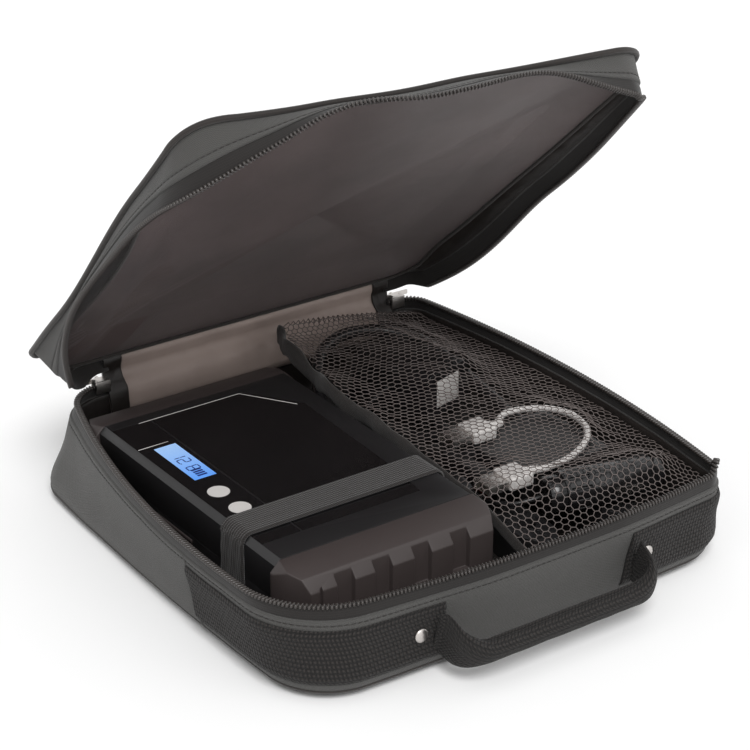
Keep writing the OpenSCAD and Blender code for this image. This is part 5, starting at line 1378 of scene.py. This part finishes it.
class STARTER_OT_display(Builder, bpy.types.Operator):
    """Backlit display with its numbers, the printed lines round it, and both buttons"""

    bl_idname = "starter.display"
    bl_label = "Display and buttons"

    def execute(self, context):
        c = context.scene.starter_colours
        wear(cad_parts["lcd_window"], display_glass())
        ink = moulded("display digits", tone("1c2f7a"), roughness=0.3, grain=0)
        marks = []

        def mark(x, y, dx, dy):
            marks.append(Matrix.Translation((x * MM, y * MM, (UNIT_TOP + 0.03) * MM))
                         @ Matrix.Diagonal((dx, dy, 1, 1)))

        middle = (LCD[0] + LCD[1]) / 2
        foot = middle - FIGURE_H / 2
        for k, figure in enumerate("12.8"):
            y = FIGURE_Y - k * FIGURE_PITCH + (AFTER_POINT if k == 3 else 0)
            if figure == ".":
                mark(foot + 0.4, y + 1.6, 0.7, 0.7)
                continue
            for name in LIT[figure]:
                up, along, stands = BARS[name]
                size = (FIGURE_H / 2 - BAR_GAP, BAR_W) if stands else (BAR_W, FIGURE_W - BAR_GAP)
                mark(foot + FIGURE_H * up, y + FIGURE_W * along, *size)
        for k in range(4):
            mark(middle, LCD[2] + CHARGE_Y + CHARGE_PITCH * k, *CHARGE_SIZE)
        tiles = add_copies(bmesh.new(), block((1, 1, 0.06), 0.01, 1), marks)
        digits = piece("display_digits", tiles, smooth=False)
        settle(digits, ink, "base", "display")

        line = moulded("printed line", c.pale[:], roughness=0.4, grain=0)
        for k, route in enumerate(PRINTED):
            points = np.column_stack([route, np.full(len(route), UNIT_TOP + 0.02)])
            settle(rope(f"printed_line_{k + 1}", points, 0.16, 6), line, "base", "film")

        for name in ("power", "start"):
            key = softened(f"{name}_key", f"{name}_button", 0.35, 3)
            settle(key, pale_plastic(c), f"{name}_button", "pale_plastic")
        return {"FINISHED"}


class STARTER_OT_booster_inside(Builder, bpy.types.Operator):
    """What is inside the booster: cells, boards, switches, sockets and screws; the floor board"""

    bl_idname = "starter.booster_inside"
    bl_label = "Inside of the booster"

    def execute(self, context):
        c = context.scene.starter_colours
        blue = moulded("blue plastic", tone("1c4aa0"), roughness=0.4)
        for node, material in {
            "battery_cells": cell_wrap(), "circuit_board": circuit_finish(),
            "lcd_module": circuit_finish(), "cell_busbars": nickel(c), "unit_screws": nickel(c),
            "button_switches": plastic(c), "output_socket": blue, "usb_sockets": nickel(c),
            "base_floor_board": pressed_board(),
        }.items():
            wear(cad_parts[node], material)
        return {"FINISHED"}


# ---- Things in the pocket
# Ahead of this the clamps are jaws, which are body plastic on both
CLAMP_PIVOT_Y = -44.0
# Radii of the jump leads and the charging leads, and routes of the jump leads from the clamps to
# the module
LEAD_R, THIN_LEAD_R = 3.25, 1.2
LEADS = {
    "first": [(18, -7.9, 13.9), (18, -2, 13.9), (18, 6, 14), (19, 40, 14), (24, 75, 20),
              (36, 98, 36), (50, 105, 43), (67, 105, 44), (83, 98, 42), (95, 80, 38), (99, 52, 30),
              (97, 20, 27), (90, 0, 29.7), (90, -6, 29.7), (90, -11.9, 29.7)],
    "second": [(66, -7.9, 13.9), (66, -2, 13.9), (66, 6, 14), (69, 35, 17), (74, 70, 19.85),
               (66, 96, 15), (48, 94, 12), (40, 70, 12), (46, 30, 18), (58, 5, 28), (60, -5, 29.7),
               (60, -11.9, 29.7)],
}
# Routes of the charging leads from the chargers, and which way along Y their plugs point
THIN_LEADS = {
    "charger": ([(51.4, 55.5, 35.2), (44, 53.5, 34), (32, 48, 32), (26, 38, 29), (26, 28, 28.2),
                 (26, 22, 28.2)], -1),
    "car": ([(45.3, -79.2, 33.7), (39, -78, 33), (31, -73, 31), (26, -62, 29), (26, -54, 28.2),
             (26, -48, 28.2)], 1),
}
# Radii and heights of the charging leads' barrel plugs and of the sleeves on the USB plugs
BARREL = ((0, 0), (2.0, 0), (2.4, 0.4), (3.4, 5), (4, 7), (4, 15.2), (3.7, 15.6), (2.75, 15.6),
          (2.75, 21.4), (2.3, 22), (0, 22))
SLEEVE = ((0, -1), (2.9, -1), (2.9, 0.5), (2.6, 2), (2.3, 4.5), (1.95, 7), (1.75, 8), (0, 8))
# The USB lead's route and diameter, the boxes of its plugs' grips and shells, and how thick and
# deep the shells are
USB_ROUTE = [(60, -17, 39.9), (64, -17, 39.9), (70, -13, 40), (76, -10, 40), (84, -11, 40),
             (91, -14, 40), (98, -20, 40), (102, -31, 40), (99, -45, 40), (92, -54, 40),
             (82, -61, 40), (69, -66, 40), (56, -67, 40), (49, -65, 39.9), (45, -65, 39.9)]
USB_D = 3.4
USB_GRIP, USB_SHELL, USB_SHELL_T, USB_HOLLOW = (14, 15, 6.8), (12, 12, 4.4), 0.6, 10


class STARTER_OT_clamps(Builder, bpy.types.Operator):
    """Red and black clamps, their pins and the module on their leads"""

    bl_idname = "starter.clamps"
    bl_label = "Clamps and module"

    def execute(self, context):
        c = context.scene.starter_colours
        red = moulded("red plastic", c.red[:], roughness=0.4)
        for hue, material in (("red", red), ("black", plastic(c))):
            for hand, node, body in (("left", "lower", "base"), ("right", "upper", f"{hue}_jaw")):
                half = softened(f"{hue}_clamp_{hand}_half", f"{hue}_clamp_{node}", 0.6)
                settle(half, material, body, f"{hue}_plastic")
                half.data.materials.append(plastic(c))
                for face in half.data.polygons:
                    face.material_index = int(face.center.y < CLAMP_PIVOT_Y * MM)
        wear(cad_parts["clamp_pins"], nickel(c))
        settle(softened("module_on_leads", "lead_module", 0.6), plastic(c), "base", "black_plastic")
        return {"FINISHED"}


class STARTER_OT_leads(Builder, bpy.types.Operator):
    """Jump leads and charging leads, held by the pocket"""

    bl_idname = "starter.leads"
    bl_label = "Leads"

    def execute(self, context):
        c = context.scene.starter_colours
        rubber = jacket("jump lead jacket", shade(c.body[:], 1.1), 0.28)
        for name, route in LEADS.items():
            lead = rope(f"jump_lead_{name}", through(route, 8), LEAD_R, 18)
            settle(lead, rubber, "base", "cable", "jump_leads")
        for name, (route, way) in THIN_LEADS.items():
            lead = rope(f"{name}_lead_wire", through(route, 8), THIN_LEAD_R)
            settle(lead, rubber, "base", "cable", "charge_lead")
            spot = Vector(route[-1]) + Vector((0, 0.05 * way, 0))
            barrel = stood(lathe(BARREL, 28), -90 * way, "X", spot)
            settle(piece(f"{name}_barrel_plug", barrel, sharp=40), plastic(c), "base",
                   "black_plastic", "charge_lead")
        return {"FINISHED"}


class STARTER_OT_chargers(Builder, bpy.types.Operator):
    """Mains charger with its pale label, and the vehicle plug"""

    bl_idname = "starter.chargers"
    bl_label = "Chargers"

    def execute(self, context):
        c = context.scene.starter_colours
        glossy = moulded("glossy plastic", c.body[:], roughness=0.2, grain=0)
        settle(softened("mains_charger", "charger_body", 1.2, 3), glossy, "base", "black_plastic")
        settle(softened("charger_face", "charger_label", 0.12), pale_plastic(c), "base",
               "pale_plastic")
        settle(softened("vehicle_plug", "car_plug_body", 0.6), glossy, "base", "black_plastic")
        for node in ("charger_pins", "car_plug_contacts"):
            wear(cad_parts[node], nickel(c))
        return {"FINISHED"}


class STARTER_OT_usb_lead(Builder, bpy.types.Operator):
    """Pale USB lead on top of the pocket's contents, with a plug at each end"""

    bl_idname = "starter.usb_lead"
    bl_label = "USB lead"

    def execute(self, context):
        c = context.scene.starter_colours
        pale = jacket("pale cable", shade(c.pale[:], 1.1), 0.4)
        points = through(USB_ROUTE, 8)
        lead = rope("usb_lead_wire", points, USB_D / 2, 14)
        settle(lead, pale, "base", "cable", "usb_lead")
        plugs = []
        for k, end in enumerate((USB_ROUTE[0], USB_ROUTE[-1])):
            name, (x, y, z) = f"usb_plug_{k + 1}", end
            grip = block(USB_GRIP, 1.4, 3)
            bmesh.ops.translate(grip, verts=grip.verts,
                                vec=Vector((x - USB_GRIP[0] / 2, y, z)) * MM)
            body = piece(f"{name}_grip", grip, sharp=50)
            settle(body, pale, "base", "pale_plastic", "usb_plugs")
            sleeve = piece(f"{name}_sleeve", stood(lathe(SLEEVE, 20), 90, "Y", end), sharp=50)
            settle(sleeve, pale, "base", "pale_plastic")
            shell = self.shell(x - USB_GRIP[0] - USB_SHELL[0] / 2, y, z)
            metal_shell = piece(f"{name}_shell", shell, sharp=40)
            settle(metal_shell, nickel(c), "base", "nickel")
            plugs += [body, sleeve, metal_shell]
        return {"FINISHED"}

    def shell(self, x, y, z):
        """The hollow metal end of a plug, open away from the lead."""
        bm = block(USB_SHELL)
        face = min(bm.faces, key=lambda f: f.calc_center_median().x)
        bmesh.ops.inset_individual(bm, faces=[face], thickness=USB_SHELL_T * MM,
                                   use_even_offset=True)
        bmesh.ops.translate(bm, verts=face.verts, vec=(USB_HOLLOW * MM, 0, 0))
        rounded(bm, turning_edges(bm, 57), 0.2)
        bmesh.ops.translate(bm, verts=bm.verts, vec=Vector((x, y, z)) * MM)
        return bm


# ---- Stage
# Each lamp's name, strength, softness in degrees, and turns about X, Y and Z
LAMPS = (("key", 1.9, 30, (34, -18, 0)), ("fill", 0.35, 60, (55, 35, 0)))
CAMERA_AT, CAMERA_TO = (-0.6003, -0.8593, 0.5850), (0.039, 0.0504, 0.0475)
CAMERA_LENS, CAMERA_SENSOR, CAMERA_FAR = 116.8, 36, 50


class STARTER_OT_stage(Builder, bpy.types.Operator):
    """Floor, soft lamps and the camera"""

    bl_idname = "starter.stage"
    bl_label = "Stage"

    def execute(self, context):
        scene = context.scene
        ground = bmesh.new()
        bmesh.ops.create_grid(ground, x_segments=8, y_segments=8, size=6)
        floor = piece("studio_floor", ground)
        paint = Finish("studio floor", 0.9, Base_Color=(0.98, 0.98, 0.98), Specular_IOR_Level=0.1)
        floor.data.materials.append(paint.material)

        scene.world = self.studio()
        for name, strength, soft, turn in LAMPS:
            lamp = bpy.data.lights.new(name, "SUN")
            lamp.energy = strength
            lamp.angle = math.radians(soft)
            holder = bpy.data.objects.new(name, lamp)
            holder.rotation_euler = [math.radians(a) for a in turn]
            scene.collection.objects.link(holder)

        view = bpy.data.cameras.new("view")
        view.lens = CAMERA_LENS
        view.sensor_width = CAMERA_SENSOR
        view.clip_end = CAMERA_FAR
        camera = bpy.data.objects.new("camera", view)
        camera.location = CAMERA_AT
        aim = Vector(CAMERA_TO) - camera.location
        camera.rotation_euler = aim.to_track_quat("-Z", "Y").to_euler()
        scene.collection.objects.link(camera)
        scene.camera = camera
        scene.view_settings.view_transform = "Standard"
        return {"FINISHED"}

    def studio(self):
        """White surroundings that light the case less than the camera and mirrors see them."""
        world = bpy.data.worlds.new("studio")
        world.use_nodes = True
        tree = world.node_tree
        tree.nodes.clear()
        out = tree.nodes.new("ShaderNodeOutputWorld")
        lit, shown = tree.nodes.new("ShaderNodeBackground"), tree.nodes.new("ShaderNodeBackground")
        for node, strength in ((lit, 0.6), (shown, 1.0)):
            node.inputs[0].default_value = (1, 1, 1, 1)
            node.inputs[1].default_value = strength
        path = tree.nodes.new("ShaderNodeLightPath")
        mix = tree.nodes.new("ShaderNodeMixShader")
        seen = path.outputs["Is Camera Ray"]
        for ray in ("Is Glossy Ray", "Is Transmission Ray"):
            add = tree.nodes.new("ShaderNodeMath")
            add.operation = "ADD"
            add.use_clamp = True
            tree.links.new(seen, add.inputs[0])
            tree.links.new(path.outputs[ray], add.inputs[1])
            seen = add.outputs[0]
        for k, socket in enumerate((seen, lit.outputs[0], shown.outputs[0])):
            tree.links.new(socket, mix.inputs[k])
        tree.links.new(mix.outputs[0], out.inputs[0])
        return world


BUILDERS = [
    STARTER_OT_stage, STARTER_OT_usb_lead, STARTER_OT_base_cloth, STARTER_OT_base_lining,
    STARTER_OT_zip, STARTER_OT_lid_cloth, STARTER_OT_lid_lining, STARTER_OT_hinge,
    STARTER_OT_webbing, STARTER_OT_handle, STARTER_OT_strap, STARTER_OT_net, STARTER_OT_binding,
    STARTER_OT_booster, STARTER_OT_display, STARTER_OT_booster_inside, STARTER_OT_clamps,
    STARTER_OT_leads, STARTER_OT_chargers,
]


class STARTER_PT_pack(bpy.types.Panel):
    """Lists the builders of the pack with its sizes and colours"""

    bl_label = "Starter Pack"
    bl_idname = "STARTER_PT_pack"
    bl_space_type = "VIEW_3D"
    bl_region_type = "UI"
    bl_category = "Starter Pack"

    def draw(self, context):
        for builder in BUILDERS:
            self.layout.operator(builder.bl_idname)
        for group in (context.scene.starter_sizes, context.scene.starter_colours):
            for name in group.__annotations__:
                self.layout.prop(group, name)


CLASSES = [StarterSizes, StarterColours, *BUILDERS, STARTER_PT_pack]


def register():
    for cls in CLASSES:
        bpy.utils.register_class(cls)
    bpy.types.Scene.starter_sizes = bpy.props.PointerProperty(type=StarterSizes)
    bpy.types.Scene.starter_colours = bpy.props.PointerProperty(type=StarterColours)


def unregister():
    del bpy.types.Scene.starter_colours
    del bpy.types.Scene.starter_sizes
    for cls in reversed(CLASSES):
        bpy.utils.unregister_class(cls)


def main():
    register()
    for builder in BUILDERS:
        group, name = builder.bl_idname.split(".")
        getattr(getattr(bpy.ops, group), name)()


if __name__ == "__main__":
    main()
